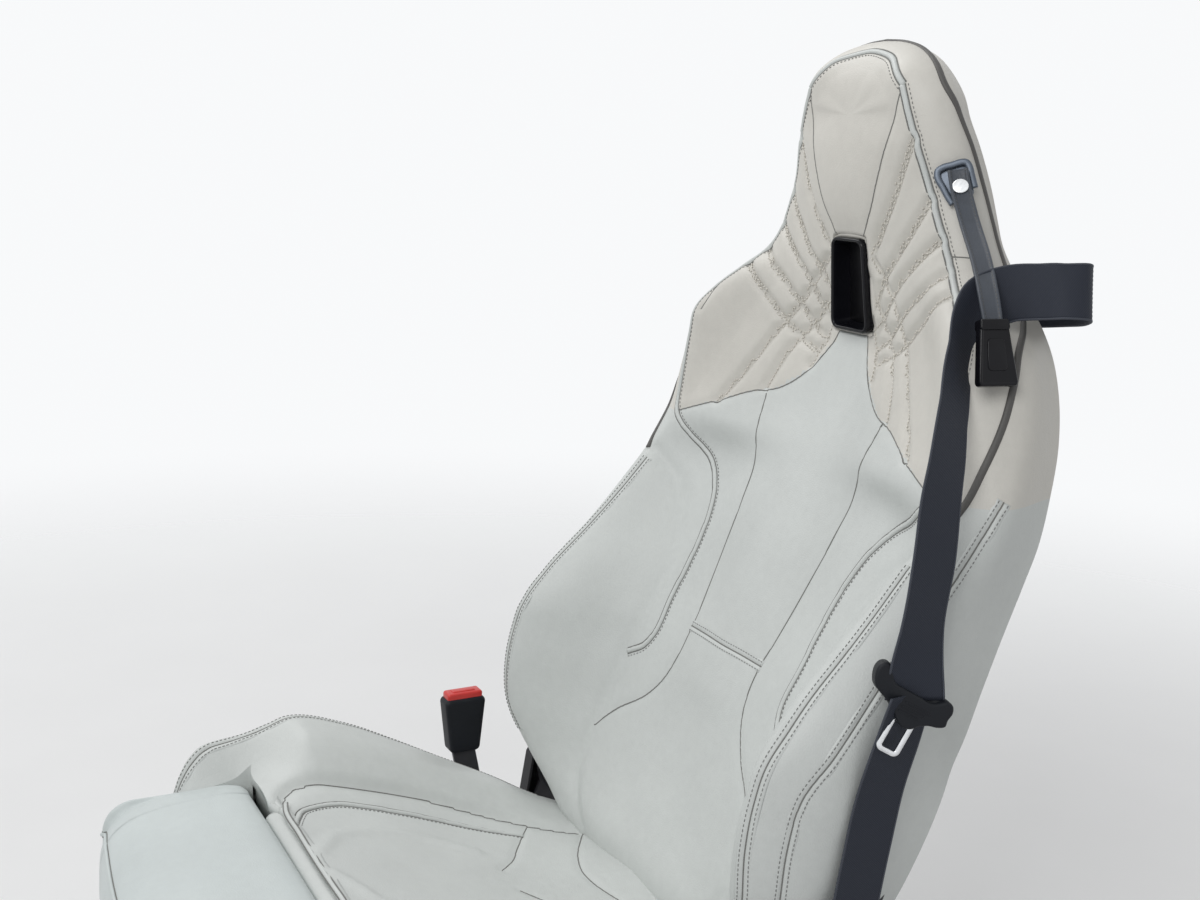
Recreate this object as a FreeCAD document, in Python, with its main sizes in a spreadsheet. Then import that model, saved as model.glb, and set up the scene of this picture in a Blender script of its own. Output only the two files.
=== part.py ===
"""Sports car seat with a one-piece backrest and an integrated headrest.

Millimetres. The origin is the centre of the four floor bolts, on the floor face of the feet.
+Z is up, the seat faces -Y, and +X is outboard, the side of the belt. -X is inboard, the side
of the buckle. The seat stands as it is adjusted at rest: mid track, a little raised.
"""
import FreeCAD, Part, Sketcher
import math
import os
import re

Vector = FreeCAD.Vector

doc = FreeCAD.newDocument("SportsSeat")
sheet = doc.addObject("Spreadsheet::Sheet", "Sizes")

# Driving sizes, one per cell: name, value in millimetres or degrees.
SIZES = (
    # feet and tracks
    ("bolt_half_width", 195), ("bolt_setout", 20), ("bolt_hole", 11),
    ("foot_width", 44), ("foot_sheet", 4), ("foot_toe", 20), ("foot_lap", 40),
    ("track_half_length", 235), ("track_floor", 26), ("track_width", 50),
    ("track_height", 22), ("track_wall", 2.5), ("track_slot", 20), ("track_play", 0.5),
    ("slider_half_length", 200), ("slider_web", 12), ("beam_width", 24),
    ("beam_gap", 5), ("beam_height", 18),
    # track drive
    ("drive_setback", 172), ("drive_radius", 7), ("motor_radius", 19), ("motor_half", 45),
    # height linkage
    ("link_length", 80), ("link_rest_angle", 30), ("rear_link_foot", 95),
    ("front_link_foot", -150), ("link_foot_rise", 17), ("link_sheet", 5), ("link_half", 13),
    ("lug_sheet", 4), ("lug_half", 14), ("pin_radius", 5), ("pin_play", 0.05),
    ("plate_play", 0.5), ("rear_tube_radius", 13), ("front_tube_radius", 11),
    ("tube_play", 0.3),
    # cushion pan
    ("member_inner", 240), ("member_sheet", 4), ("member_front", -196), ("member_rear", 205),
    ("member_low", 98), ("member_high", 196), ("pan_sheet", 2.5), ("pan_half", 165),
    ("pan_front", -200), ("pan_knee", -34), ("pan_rear", 166), ("pan_front_rise", 280),
    ("pan_knee_rise", 250.7), ("pan_rear_rise", 176), ("lift_motor_radius", 21),
    ("lift_motor_length", 84), ("lift_motor_back", 40), ("lift_motor_rise", 150),
    ("pan_tube_radius", 10), ("pan_tube_back", 196), ("pan_tube_rise", 140),
    # recliner
    ("hip_back", 225), ("hip_rise", 250), ("disc_radius", 32), ("disc_thick", 3.4),
    ("hip_lug_radius", 36), ("hip_pin_radius", 8), ("hip_play", 0.05), ("arm_sheet", 4),
    ("arm_play", 0.3), ("arm_radius", 33), ("cross_tube_radius", 9), ("hip_pin_end", 1),
    # side covers
    ("cover_gap", 0.3), ("cover_depth", 17), ("cover_wall", 3), ("cover_low", 78),
    ("cover_high", 198), ("cover_front", -186), ("cover_rear", 268), ("cover_hip_radius", 44),
    # cushion
    ("cushion_front", -128), ("bolster_foot", 199), ("root_half", 138), ("nose_inner", 207),
    # thigh support
    ("thigh_step", -226), ("thigh_lip_gap", 14), ("thigh_lift", 3), ("thigh_slope", 10),
    ("thigh_round", 50),
    ("tray_sheet", 3), ("tray_half", 150), ("tray_tail", -60), ("tray_low", 190),
    ("tray_gap", 0.3),
    # backrest shell and opening
    ("shell_wall", 3), ("shell_bulge", 12), ("shell_slot", 15), ("slot_back", 15),
    ("slot_low", 14), ("slot_depth", 64), ("slot_height", 112), ("bezel_low", 757),
    ("bezel_high", 845), ("bezel_low_half", 28), ("bezel_high_half", 22.5),
    ("bezel_wall", 3.5), ("bezel_front", 392), ("bezel_depth", 24), ("bezel_pane", 3),
    ("bezel_corner", 6),
    # belt and guide
    ("web_width", 47), ("web_thick", 1.3), ("tongue_width", 74), ("tongue_height", 26),
    ("tongue_thick", 13), ("latch_width", 26), ("latch_length", 50), ("latch_sheet", 2.5),
    ("window_width", 13), ("window_length", 12), ("anchor_play", 2), ("anchor_sheet", 3),
    ("anchor_half", 17), ("anchor_reach", 52), ("anchor_tab_half", 27),
    ("anchor_tab_height", 9), ("bracket_width", 30), ("bracket_height", 24),
    ("bracket_thick", 7), ("strap_width", 17), ("strap_thick", 3), ("clip_width", 36),
    ("clip_height", 58), ("clip_thick", 9), ("clip_play", 0.3), ("outlet_length", 62),
    ("outlet_width", 16), ("outlet_depth", 9),
    # buckle
    ("buckle_width", 46), ("buckle_thick", 22), ("buckle_height", 64), ("button_depth", 12),
    ("buckle_back", 112), ("buckle_top", 338), ("stalk_sheet", 4), ("stalk_width", 26),
    ("stalk_foot_back", 140), ("stalk_foot_rise", 128), ("stalk_boss_radius", 8),
    # switches
    ("switch_depth", 7),
)

for row, (alias, value) in enumerate(SIZES, 1):
    sheet.set(f"A{row}", alias)
    sheet.set(f"B{row}", str(value))
    sheet.setAlias(f"B{row}", alias)
doc.recompute()


def size(alias):
    """A driving size as a number."""
    return float(getattr(sheet, alias))


def cells(text):
    """An expression written with bare size names, as the document needs it."""
    return re.sub(r"\b([a-z]+(?:_[a-z]+)+)\b", r"Sizes.\1", str(text))


nodes = {}


def keep(label, thing):
    """Name an object as a sub-part of the seat."""
    thing.Label = label
    nodes[label] = thing
    return thing


def place(thing, corner):
    """Bind an object's position to the sheet."""
    for axis, text in zip("xyz", corner):
        thing.setExpression("Placement.Base." + axis, cells(text))


def block(name, corner, spans):
    """A box with its low corner and its three spans bound to the sheet."""
    box = doc.addObject("Part::Box", name)
    for side, text in zip(("Length", "Width", "Height"), spans):
        box.setExpression(side, cells(text))
    place(box, corner)
    return box


TURNS = {
    "x": FreeCAD.Rotation(Vector(0, 1, 0), 90),
    "y": FreeCAD.Rotation(Vector(1, 0, 0), -90),
    "z": FreeCAD.Rotation(),
}


def rod(name, start, radius, length, along="x"):
    """A round bar from its start point along one axis."""
    bar = doc.addObject("Part::Cylinder", name)
    bar.Placement = FreeCAD.Placement(Vector(), TURNS[along])
    bar.setExpression("Radius", cells(radius))
    bar.setExpression("Height", cells(length))
    place(bar, start)
    return bar


def fuse(name, parts):
    """Several touching or overlapping solids as one."""
    whole = doc.addObject("Part::MultiFuse", name)
    whole.Shapes = parts
    whole.Refine = True
    return whole


def cut(name, base, tool):
    """One solid less another."""
    rest = doc.addObject("Part::Cut", name)
    rest.Base = base
    rest.Tool = tool
    return rest


def plate(name, plane, corners, thick, start, holes=()):
    """A flat plate: its outline and round holes in a sketch bound to the sheet, then padded.

    plane is YZ_Plane, XZ_Plane or XY_Plane, start the distance of its first face along the
    plane's normal. corners are pairs and holes are triples of expressions.
    """
    body = doc.addObject("PartDesign::Body", name)
    sketch = body.newObject("Sketcher::SketchObject", name + "_outline")
    origin = [item for item in body.Origin.OriginFeatures if item.Role == plane][0]
    sketch.AttachmentSupport = [(origin, "")]
    sketch.MapMode = "FlatFace"
    count = len(corners)
    for index in range(count):
        angle = 2 * math.pi * index / count
        after = 2 * math.pi * (index + 1) / count
        sketch.addGeometry(Part.LineSegment(
            Vector(math.cos(angle), math.sin(angle), 0),
            Vector(math.cos(after), math.sin(after), 0)))
    for index in range(count):
        bound(sketch, "Coincident", index, 2, (index + 1) % count, 1)
    for index, (across, up) in enumerate(corners):
        pin_point(sketch, f"corner{index}", index, 1, across, up)
    for index, (across, up, radius) in enumerate(holes):
        ring = sketch.addGeometry(Part.Circle(Vector(0, 0, 0), Vector(0, 0, 1), 1 + index))
        pin_point(sketch, f"hole{index}", ring, 3, across, up)
        spot = bound(sketch, "Radius", ring, 1.0)
        sketch.renameConstraint(spot, f"hole{index}radius")
        sketch.setExpression(f"Constraints.hole{index}radius", cells(radius))
    pad = body.newObject("PartDesign::Pad", name + "_pad")
    pad.Profile = sketch
    pad.setExpression("Length", cells(thick))
    normal = {"YZ_Plane": "x", "XZ_Plane": "y", "XY_Plane": "z"}[plane]
    body.setExpression("Placement.Base." + normal, cells(start))
    return body


def bound(sketch, kind, *values):
    """One sketch constraint, and its number."""
    return sketch.addConstraint(Sketcher.Constraint(kind, *values))


def pin_point(sketch, name, line, spot, across, up):
    """Tie a sketch point's two coordinates to the sheet."""
    for kind, text in (("DistanceX", across), ("DistanceY", up)):
        number = bound(sketch, kind, -1, 1, line, spot, 1.0)
        sketch.renameConstraint(number, name + kind)
        sketch.setExpression(f"Constraints.{name}{kind}", cells(text))


def solid(label, shape):
    """A sub-part whose form is lofted through its own sections."""
    feature = doc.addObject("Part::Feature", label)
    feature.Shape = shape
    feature.Placement = FreeCAD.Placement()
    return keep(label, feature)


def loft(sections):
    """A solid through closed outlines of straight edges, ruled from one to the next."""
    wires = [Part.makePolygon([*points, points[0]]) for points in sections]
    return Part.makeLoft(wires, True, True)


def prism(points, along):
    """A flat outline pushed along a vector."""
    return Part.Face(Part.makePolygon([*points, points[0]])).extrude(along)


SIDES = (("inboard", -1), ("outboard", 1))

# Feet: a toe with the bolt hole on the floor, a riser, and a lap under the track's end.
for end, way in (("front", -1), ("rear", 1)):
    for side, hand in SIDES:
        toe = f"{way}*(track_half_length + bolt_setout + foot_toe)"
        riser = f"{way}*(track_half_length + foot_sheet)"
        wall = f"{way}*track_half_length"
        lap = f"{way}*(track_half_length - foot_lap)"
        name = f"foot_{end}_{side}"
        profile = plate(name + "_strip", "YZ_Plane", (
            (toe, "0"), (wall, "0"), (wall, "track_floor - foot_sheet"),
            (lap, "track_floor - foot_sheet"), (lap, "track_floor"), (riser, "track_floor"),
            (riser, "foot_sheet"), (toe, "foot_sheet"),
        ), "foot_width", f"{hand}*bolt_half_width - foot_width/2")
        hole = rod(name + "_hole", (
            f"{hand}*bolt_half_width", f"{way}*(track_half_length + bolt_setout)", "-1"),
            "bolt_hole/2", "foot_sheet + 2", "z")
        keep(name, cut(name + "_cut", profile, hole))

# Lower tracks: a channel with two lips over the slider.
for side, hand in SIDES:
    name = f"track_lower_{side}"
    middle = f"{hand}*bolt_half_width"
    outer = block(name + "_bar", (
        f"{middle} - track_width/2", "-track_half_length", "track_floor"),
        ("track_width", "2*track_half_length", "track_height"))
    hollow = block(name + "_hollow", (
        f"{middle} - track_width/2 + track_wall", "-track_half_length - 1",
        "track_floor + track_wall"),
        ("track_width - 2*track_wall", "2*track_half_length + 2",
         "track_height - 2*track_wall"))
    slot = block(name + "_slot", (
        f"{middle} - track_slot/2", "-track_half_length - 1", "track_floor + track_wall"),
        ("track_slot", "2*track_half_length + 2", "track_height"))
    keep(name, cut(name + "_cut", cut(name + "_channel", outer, hollow), slot))

# Upper tracks: slider in the channel, web through its slot, beam above, two lugs for the links.
BEAM_LOW = "(track_floor + track_height + beam_gap)"
BEAM_TOP = f"({BEAM_LOW} + beam_height)"
LINK_FOOT = f"({BEAM_TOP} + link_foot_rise)"
for side, hand in SIDES:
    name = f"track_upper_{side}"
    middle = f"{hand}*bolt_half_width"
    slider = block(name + "_slider", (
        f"{middle} - track_width/2 + track_wall + track_play", "-slider_half_length",
        "track_floor + track_wall + track_play"),
        ("track_width - 2*track_wall - 2*track_play", "2*slider_half_length",
         "track_height - 2*track_wall - 2*track_play"))
    web = block(name + "_web", (
        f"{middle} - slider_web/2", "-slider_half_length", "track_floor + track_height/2"),
        ("slider_web", "2*slider_half_length", f"{BEAM_LOW} - track_floor - track_height/2 + 1"))
    beam = block(name + "_beam", (
        f"{middle} - beam_width/2", "-slider_half_length", BEAM_LOW),
        ("beam_width", "2*slider_half_length", "beam_height"))
    lugs = []
    for end, foot in (("front", "front_link_foot"), ("rear", "rear_link_foot")):
        lug = plate(f"{name}_{end}_lug", "YZ_Plane", (
            (f"{foot} - 1.6*lug_half", f"{BEAM_TOP} - 2"),
            (f"{foot} + 1.6*lug_half", f"{BEAM_TOP} - 2"),
            (f"{foot} + lug_half", f"{LINK_FOOT} + lug_half/2"),
            (f"{foot} + lug_half/2", f"{LINK_FOOT} + lug_half"),
            (f"{foot} - lug_half/2", f"{LINK_FOOT} + lug_half"),
            (f"{foot} - lug_half", f"{LINK_FOOT} + lug_half/2"),
        ), "lug_sheet", f"{middle} - lug_sheet/2",
            ((foot, LINK_FOOT, "pin_radius + pin_play"),))
        lugs.append(lug)
    keep(name, fuse(name + "_fused", [slider, web, beam, *lugs]))

# Track drive: a motor between the tracks and a shaft to each of them.
DRIVE_RISE = f"({BEAM_LOW} + beam_height/2)"
keep("track_motor", rod("track_motor_can", ("-motor_half", "-drive_setback", DRIVE_RISE),
                        "motor_radius", "2*motor_half"))
DRIVE_REACH = "(bolt_half_width - beam_width/2 - motor_half)"
for side, start in (("inboard", "-motor_half - " + DRIVE_REACH), ("outboard", "motor_half")):
    keep(f"drive_shaft_{side}", rod(f"drive_shaft_{side}_bar", (
        start, "-drive_setback", DRIVE_RISE), "drive_radius", DRIVE_REACH))

# Height linkage: two links on a cross tube at each end of the cushion.
LINK_RUN = "link_length*cos(link_rest_angle)"
LINK_RISE = "link_length*sin(link_rest_angle)"
LINK_IN = "(bolt_half_width + lug_sheet/2 + plate_play)"
for end, foot in (("rear", "rear_link_foot"), ("front", "front_link_foot")):
    tube_radius = f"{end}_tube_radius"
    top_back = f"({foot} + {LINK_RUN})"
    top_rise = f"({LINK_FOOT} + {LINK_RISE})"
    parts = [rod(f"lift_{end}_tube", ("-member_inner - member_sheet", top_back, top_rise),
                 tube_radius, "2*member_inner + 2*member_sheet")]
    for side, hand in SIDES:
        start = LINK_IN if hand > 0 else f"-{LINK_IN} - link_sheet"
        arm = plate(f"lift_{end}_{side}_arm", "YZ_Plane", (
            (f"{foot} - link_half*cos(link_rest_angle + 45)*1.2",
             f"{LINK_FOOT} - link_half*sin(link_rest_angle + 45)*1.2"),
            (f"{foot} + link_half*sin(link_rest_angle)",
             f"{LINK_FOOT} - link_half*cos(link_rest_angle)"),
            (f"{top_back} + link_half*sin(link_rest_angle)",
             f"{top_rise} - link_half*cos(link_rest_angle)"),
            (f"{top_back} + link_half*cos(link_rest_angle)",
             f"{top_rise} + link_half*sin(link_rest_angle)"),
            (f"{top_back} - link_half*sin(link_rest_angle)",
             f"{top_rise} + link_half*cos(link_rest_angle)"),
            (f"{foot} - link_half*sin(link_rest_angle)",
             f"{LINK_FOOT} + link_half*cos(link_rest_angle)"),
        ), "link_sheet", start)
        pin_start = ("bolt_half_width - lug_sheet/2 - 2" if hand > 0
                     else f"-{LINK_IN} - link_sheet")
        pin = rod(f"lift_{end}_{side}_pin", (pin_start, foot, LINK_FOOT), "pin_radius",
                  "lug_sheet + plate_play + link_sheet + 2")
        parts += [arm, pin]
    keep(f"lift_links_{end}", fuse(f"lift_{end}_fused", parts))

# Pan side members: carry the cross tubes, and rise at the rear to the recliner.
REAR_TOP_BACK = f"(rear_link_foot + {LINK_RUN})"
FRONT_TOP_BACK = f"(front_link_foot + {LINK_RUN})"
LINK_TOP = f"({LINK_FOOT} + {LINK_RISE})"
for side, hand in SIDES:
    start = "member_inner" if hand > 0 else "-member_inner - member_sheet"
    outline = [
        ("member_front", "member_high"), ("member_front", "member_high - 44"),
        ("member_front + 60", "member_low"), ("member_rear - 20", "member_low"),
        ("member_rear + 8", "member_low + 30"), ("hip_back + hip_lug_radius*0.92",
                                                 "hip_rise - hip_lug_radius*0.4"),
    ]
    for angle in range(0, 181, 30):
        outline.append((f"hip_back + hip_lug_radius*cos({angle})",
                        f"hip_rise + hip_lug_radius*sin({angle})"))
    outline.append(("hip_back - hip_lug_radius*0.92", "hip_rise - hip_lug_radius*0.4"))
    outline.append(("hip_back - hip_lug_radius - 14", "member_high"))
    member = plate(f"pan_member_{side}_plate", "YZ_Plane", outline, "member_sheet", start, (
        ("hip_back", "hip_rise", "hip_pin_radius + hip_play"),
        (REAR_TOP_BACK, LINK_TOP, "rear_tube_radius + tube_play"),
        (FRONT_TOP_BACK, LINK_TOP, "front_tube_radius + tube_play"),
    ))
    keep(f"pan_member_{side}", member)
    disc_start = "member_inner - disc_thick" if hand > 0 else "-member_inner"
    disc = rod(f"recliner_{side}_disc", (disc_start, "hip_back", "hip_rise"),
               "disc_radius", "disc_thick")
    bore = rod(f"recliner_{side}_bore", (f"{disc_start} - 1", "hip_back", "hip_rise"),
               "hip_pin_radius + hip_play", "disc_thick + 2")
    keep(f"recliner_{side}", cut(f"recliner_{side}_cut", disc, bore))

# Pan: a pressed sheet, raised in the middle at the front and dished at the rear.
member_inner = size("member_inner")
sheet_thick = size("pan_sheet")


def pan_section(back, rise):
    """The pan's outline across the seat at one place: flange, raised middle, flange."""
    half = size("pan_half")
    foot = size("bolster_foot")
    wall = sheet_thick if rise > foot else -sheet_thick
    upper = [(-member_inner, foot), (-half, foot), (-half, rise), (half, rise),
             (half, foot), (member_inner, foot)]
    lower = [(member_inner, foot - sheet_thick), (half - wall, foot - sheet_thick),
             (half - wall, rise - sheet_thick), (-half + wall, rise - sheet_thick),
             (-half + wall, foot - sheet_thick), (-member_inner, foot - sheet_thick)]
    return [Vector(x, back, z) for x, z in upper + lower]


level_back = size("pan_knee") + (size("pan_rear") - size("pan_knee")) * (
    (size("pan_knee_rise") - size("bolster_foot") - 2 * sheet_thick)
    / (size("pan_knee_rise") - size("pan_rear_rise")))
solid("cushion_pan", loft([
    pan_section(size("pan_front"), size("pan_front_rise")),
    pan_section(size("pan_knee"), size("pan_knee_rise")),
    pan_section(level_back, size("bolster_foot") + 2 * sheet_thick),
    pan_section(size("pan_rear"), size("bolster_foot") + sheet_thick),
]))

keep("pan_rear_tube", rod("pan_rear_tube_bar", (
    "-member_inner", "pan_tube_back", "pan_tube_rise"), "pan_tube_radius", "2*member_inner"))
keep("lift_motor", rod("lift_motor_can", (
    "member_inner - lift_motor_length", "lift_motor_back", "lift_motor_rise"),
    "lift_motor_radius", "lift_motor_length"))

# Side covers: a shallow moulded tray over each side member, with a round end at the recliner.
for side, hand in SIDES:
    near = "member_inner + member_sheet + cover_gap"
    start = near if hand > 0 else f"-({near}) - cover_depth"
    outline = [("cover_front", "cover_high - 8"), ("cover_front + 6", "cover_low + 34"),
               ("cover_front + 60", "cover_low"), ("cover_rear - 60", "cover_low"),
               ("cover_rear - 12", "cover_low + 44")]
    for angle in range(-20, 161, 30):
        outline.append((f"hip_back + cover_hip_radius*cos({angle})",
                        f"hip_rise + cover_hip_radius*sin({angle})"))
    outline += [("hip_back - cover_hip_radius - 6", "cover_high + 14"),
                ("hip_back - cover_hip_radius - 40", "cover_high")]
    tray = plate(f"side_cover_{side}_tray", "YZ_Plane", outline, "cover_depth", start)
    inset = []
    for across, up in outline:
        inset.append((f"hip_back*0.04 + 0.96*({across})",
                      f"(cover_low + 62)*0.06 + 0.94*({up})"))
    room_start = "member_inner - 1" if hand > 0 else f"-({near}) - cover_depth + cover_wall"
    room = plate(f"side_cover_{side}_room", "YZ_Plane", inset,
                 "member_sheet + cover_gap + cover_depth - cover_wall + 1", room_start)
    eye = rod(f"side_cover_{side}_eye", (
        f"{hand}*(member_inner + member_sheet + cover_gap + cover_depth/2) - cover_depth",
        "hip_back", "hip_rise"), "hip_pin_radius + 1", "2*cover_depth")
    shell = cut(f"side_cover_{side}_shell", tray, room)
    keep(f"side_cover_{side}", cut(f"side_cover_{side}_cut", shell, eye))

# Cushion sections across the seat, front to rear. Columns: distance back, height of the
# middle, of the bolster's root, half width and height of its crest, of its outer side.
CUSHION = (
    (-128, 324, 330, 236, 355, 249, 326),
    (-84, 310, 317, 238, 358, 252, 328),
    (-34, 293, 301, 238, 342, 252, 314),
    (20, 276, 283, 236, 315, 250, 290),
    (68, 263, 267, 232, 289, 246, 268),
    (120, 254, 252, 222, 263, 236, 244),
    (166, 250, 240, 205, 240, 222, 224),
)
# The bolster's nose beside the thigh support. Columns: distance back, height of its inner edge,
# half width and height of its crest, of its outer side.
BOLSTER_NOSE = ((-204, 298, 226, 302, 240, 280), (-170, 330, 233, 342, 247, 312),
                (-128, 347, 236, 355, 249, 326))


def pan_top(back):
    """Height of the pan's middle under the cushion."""
    knots = ((size("pan_front"), size("pan_front_rise")), (size("pan_knee"),
             size("pan_knee_rise")), (level_back, size("bolster_foot") + 2 * sheet_thick),
             (size("pan_rear"), size("bolster_foot") + sheet_thick))
    for (y0, z0), (y1, z1) in zip(knots, knots[1:]):
        if back <= y1:
            return z0 + (z1 - z0) * (back - y0) / (y1 - y0)
    return knots[-1][1]


half = size("pan_half")
root = size("root_half")
insert_rows = []
for back, middle, root_z, crest_w, crest_z, side_w, side_z in CUSHION:
    low = pan_top(back)
    insert_rows.append([Vector(x, back, z) for x, z in (
        (-root, low), (root, low), (root, root_z), (root * 0.6, middle + 2),
        (0, middle), (-root * 0.6, middle + 2), (-root, root_z))])
solid("cushion_centre", loft(insert_rows))

nose_inner = size("nose_inner")
for side, hand in SIDES:
    rows = []
    foot = size("bolster_foot")
    for back, root_z, crest_w, crest_z, side_w, side_z in BOLSTER_NOSE:
        rows.append([Vector(hand * x, back, z) for x, z in (
            (nose_inner, foot), (side_w - 6, foot), (side_w, side_z), (crest_w, crest_z),
            (nose_inner + 4, root_z), (nose_inner, root_z - 28))])
    nose = loft(rows)
    rows = []
    for back, middle, root_z, crest_w, crest_z, side_w, side_z in CUSHION:
        low = pan_top(back)
        rows.append([Vector(hand * x, back, z) for x, z in (
            (half, low), (half, foot), (side_w - 6, foot), (side_w, side_z),
            (crest_w, crest_z), (root + 20, root_z + 2), (root, root_z), (root, low))])
    solid(f"cushion_bolster_{side}", loft(rows).fuse(nose).removeSplitter())

# Thigh support: a pad across the front, narrow where it reaches back between the bolsters.
slope = math.tan(math.radians(size("thigh_slope")))


def pan_line(back):
    """Height of the pan's front part, along which the thigh support slides."""
    return size("pan_front_rise") - slope * (back - size("pan_front"))


def tray_top(back):
    """Height of the sliding tray's upper face, just under the pan."""
    return pan_line(back) - sheet_thick - size("tray_gap")


def thigh_section(across, front, rear, crown, drop, sink):
    """The pad's side outline at one place across the seat."""
    step = size("thigh_step")
    lip = min(size("pan_front") - size("thigh_lip_gap"), rear - 2)
    over = size("thigh_lift")
    shoulder = front + min(size("thigh_round"), 0.8 * (rear - front))
    return [Vector(across, y, z) for y, z in (
        (rear, pan_line(rear) + over - sink), (rear, crown), (shoulder, crown - 5),
        (front + 18, crown - 20), (front, crown - 56), (front + 6, drop),
        (step, drop), (step, tray_top(step) - sink), (lip, tray_top(lip) - sink),
        (lip, pan_line(lip) + over - sink))]


thigh = []
THIGH = (
    # half width across, front, rear, height of the crown, of the lower edge, sink of the seat
    (250, -262, -222, 286, 206, 50), (236, -271, -222, 304, 194, 50),
    (206, -277, -222, 311, 188, 50), (201, -278, -142, 314, 187, 50),
    (172, -282, -142, 317, 184, 50), (168, -283, -142, 318, 184, 0),
    (0, -296, -142, 320, 180, 0),
)
whole = [(-w, *rest) for w, *rest in THIGH] + [(w, *rest) for w, *rest in THIGH[-2::-1]]
solid("thigh_pad", loft([thigh_section(*row) for row in whole]))

thigh_step = size("thigh_step")
tray_tail = size("tray_tail")
tray_sheet = size("tray_sheet")
tray = prism([Vector(-size("tray_half"), y, z) for y, z in (
    (thigh_step + tray_sheet, tray_top(thigh_step + tray_sheet)),
    (tray_tail, tray_top(tray_tail)),
    (tray_tail, tray_top(tray_tail) - tray_sheet),
    (thigh_step + tray_sheet, tray_top(thigh_step + tray_sheet) - tray_sheet))],
    Vector(2 * size("tray_half"), 0, 0))
front_plate = prism([Vector(-size("tray_half"), y, z) for y, z in (
    (thigh_step, tray_top(thigh_step)), (thigh_step, size("tray_low")),
    (thigh_step + tray_sheet, size("tray_low")),
    (thigh_step + tray_sheet, tray_top(thigh_step + tray_sheet)))],
    Vector(2 * size("tray_half"), 0, 0))
solid("thigh_tray", tray.fuse(front_plate).removeSplitter())

# Backrest sections at one height each. Columns: height, middle of the front, half width and
# depth of the bolster's root, of its crest, of its outer side, depth where the pads end, half
# width and depth of the shell's rear corner.
BACK = (
    (206, 203, 110, 204, 128, 207, 140, 214, 227, 150, 262),
    (222, 184, 112, 184, 148, 190, 165, 204, 233, 172, 274),
    (240, 176, 114, 176, 166, 180, 188, 200, 238, 190, 283),
    (262, 177, 116, 174, 192, 176, 212, 198, 245, 208, 290),
    (290, 190, 118, 182, 214, 166, 231, 194, 254, 224, 299),
    (346, 215, 119, 203, 231, 146, 250, 175, 273, 238, 318),
    (399, 239, 119, 225, 233, 147, 254, 180, 292, 242, 337),
    (447, 260, 119, 247, 232, 160, 255, 195, 309, 243, 354),
    (485, 278, 118, 265, 229, 188, 255, 222, 323, 243, 368),
    (534, 301, 119, 294, 224, 237, 254, 268, 342, 243, 387),
    (575, 320, 124, 316, 222, 275, 254, 303, 359, 243, 404),
    (612, 338, 150, 324, 221, 308, 255, 335, 375, 243, 418),
    (648, 355, 200, 326, 216, 328, 256, 355, 390, 240, 428),
)
# Shoulder sections. Columns: height, middle of the front, half width and depth of the front
# seam, of the outer side, depth where the pad ends, half width and depth of the rear corner.
SHOULDER = (
    (648, 355, 200, 326, 256, 355, 390, 240, 428),
    (690, 374, 211, 334, 251, 372, 406, 234, 438),
    (730, 388, 211, 341, 243, 382, 418, 224, 443),
    (754, 397, 210, 345, 235, 388, 425, 214, 445),
    (781, 396, 190, 358, 213, 396, 428, 194, 448),
    (803, 392, 166, 373, 190, 402, 430, 171, 450),
    (827, 386, 138, 388, 163, 410, 432, 148, 452),
    (848, 384, 122, 391, 146, 414, 434, 130, 452),
)
# Headrest sections. Columns: height, middle of the front, half width and depth of the front
# seam, of the outer side, half width and depth of the rear corner, depth of the rear.
HEADREST = (
    (848, 384, 122, 391, 146, 414, 130, 452, 464),
    (894, 373, 100, 389, 124, 415, 112, 449, 461),
    (932, 372, 87, 382, 112, 412, 101, 441, 453),
    (969, 375, 74, 379, 99, 408, 88, 431, 442),
    (990, 380, 62, 380, 85, 405, 75, 424, 433),
    (1010, 391, 44, 387, 62, 404, 52, 416, 422),
    (1022, 403, 22, 399, 30, 407, 26, 412, 414),
)

solid("back_centre", loft([[Vector(x, y, height) for x, y in (
    (-root_w, root_y), (-0.5 * root_w, middle + 1), (0.5 * root_w, middle + 1),
    (root_w, root_y), (root_w, rear), (-root_w, rear))]
    for height, middle, root_w, root_y, _, _, _, _, rear, _, _ in BACK]))

for side, hand in SIDES:
    solid(f"back_bolster_{side}", loft([[Vector(hand * x, y, height) for x, y in (
        (root_w, root_y), (crest_w, crest_y), (side_w, side_y), (side_w, rear),
        (root_w, rear))]
        for height, _, root_w, root_y, crest_w, crest_y, side_w, side_y, rear, _, _ in BACK]))

shoulder = loft([[Vector(x, y, height) for x, y in (
    (-side_w, side_y), (-seam_w, seam_y), (-0.35 * seam_w, middle), (0.35 * seam_w, middle),
    (seam_w, seam_y), (side_w, side_y), (side_w, rear), (-side_w, rear))]
    for height, middle, seam_w, seam_y, side_w, side_y, rear, _, _ in SHOULDER])


def opening_outline(inset, depth):
    """The tall opening below the headrest, a little wider at its foot."""
    low = size("bezel_low") + inset
    high = size("bezel_high") - inset
    wide = size("bezel_low_half") - inset
    narrow = size("bezel_high_half") - inset
    corner = size("bezel_corner")
    return [Vector(x, depth, z) for x, z in (
        (-wide + corner, low), (wide - corner, low), (wide, low + corner),
        (narrow, high - corner), (narrow - corner, high), (-narrow + corner, high),
        (-narrow, high - corner), (-wide, low + corner))]


bezel_front = size("bezel_front")
bezel_depth = size("bezel_depth")
ahead = 30  # the cutting tools start this far in front of the bezel, outside the pad
bezel_block = prism(opening_outline(0, bezel_front), Vector(0, bezel_depth, 0))
pocket = prism(opening_outline(0, bezel_front - ahead), Vector(0, bezel_depth + ahead, 0))
recess = prism(opening_outline(size("bezel_wall"), bezel_front - ahead),
               Vector(0, bezel_depth + ahead - size("bezel_pane"), 0))
solid("shoulder_pad", shoulder.cut(pocket))
solid("opening_bezel", bezel_block.cut(recess))

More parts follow.
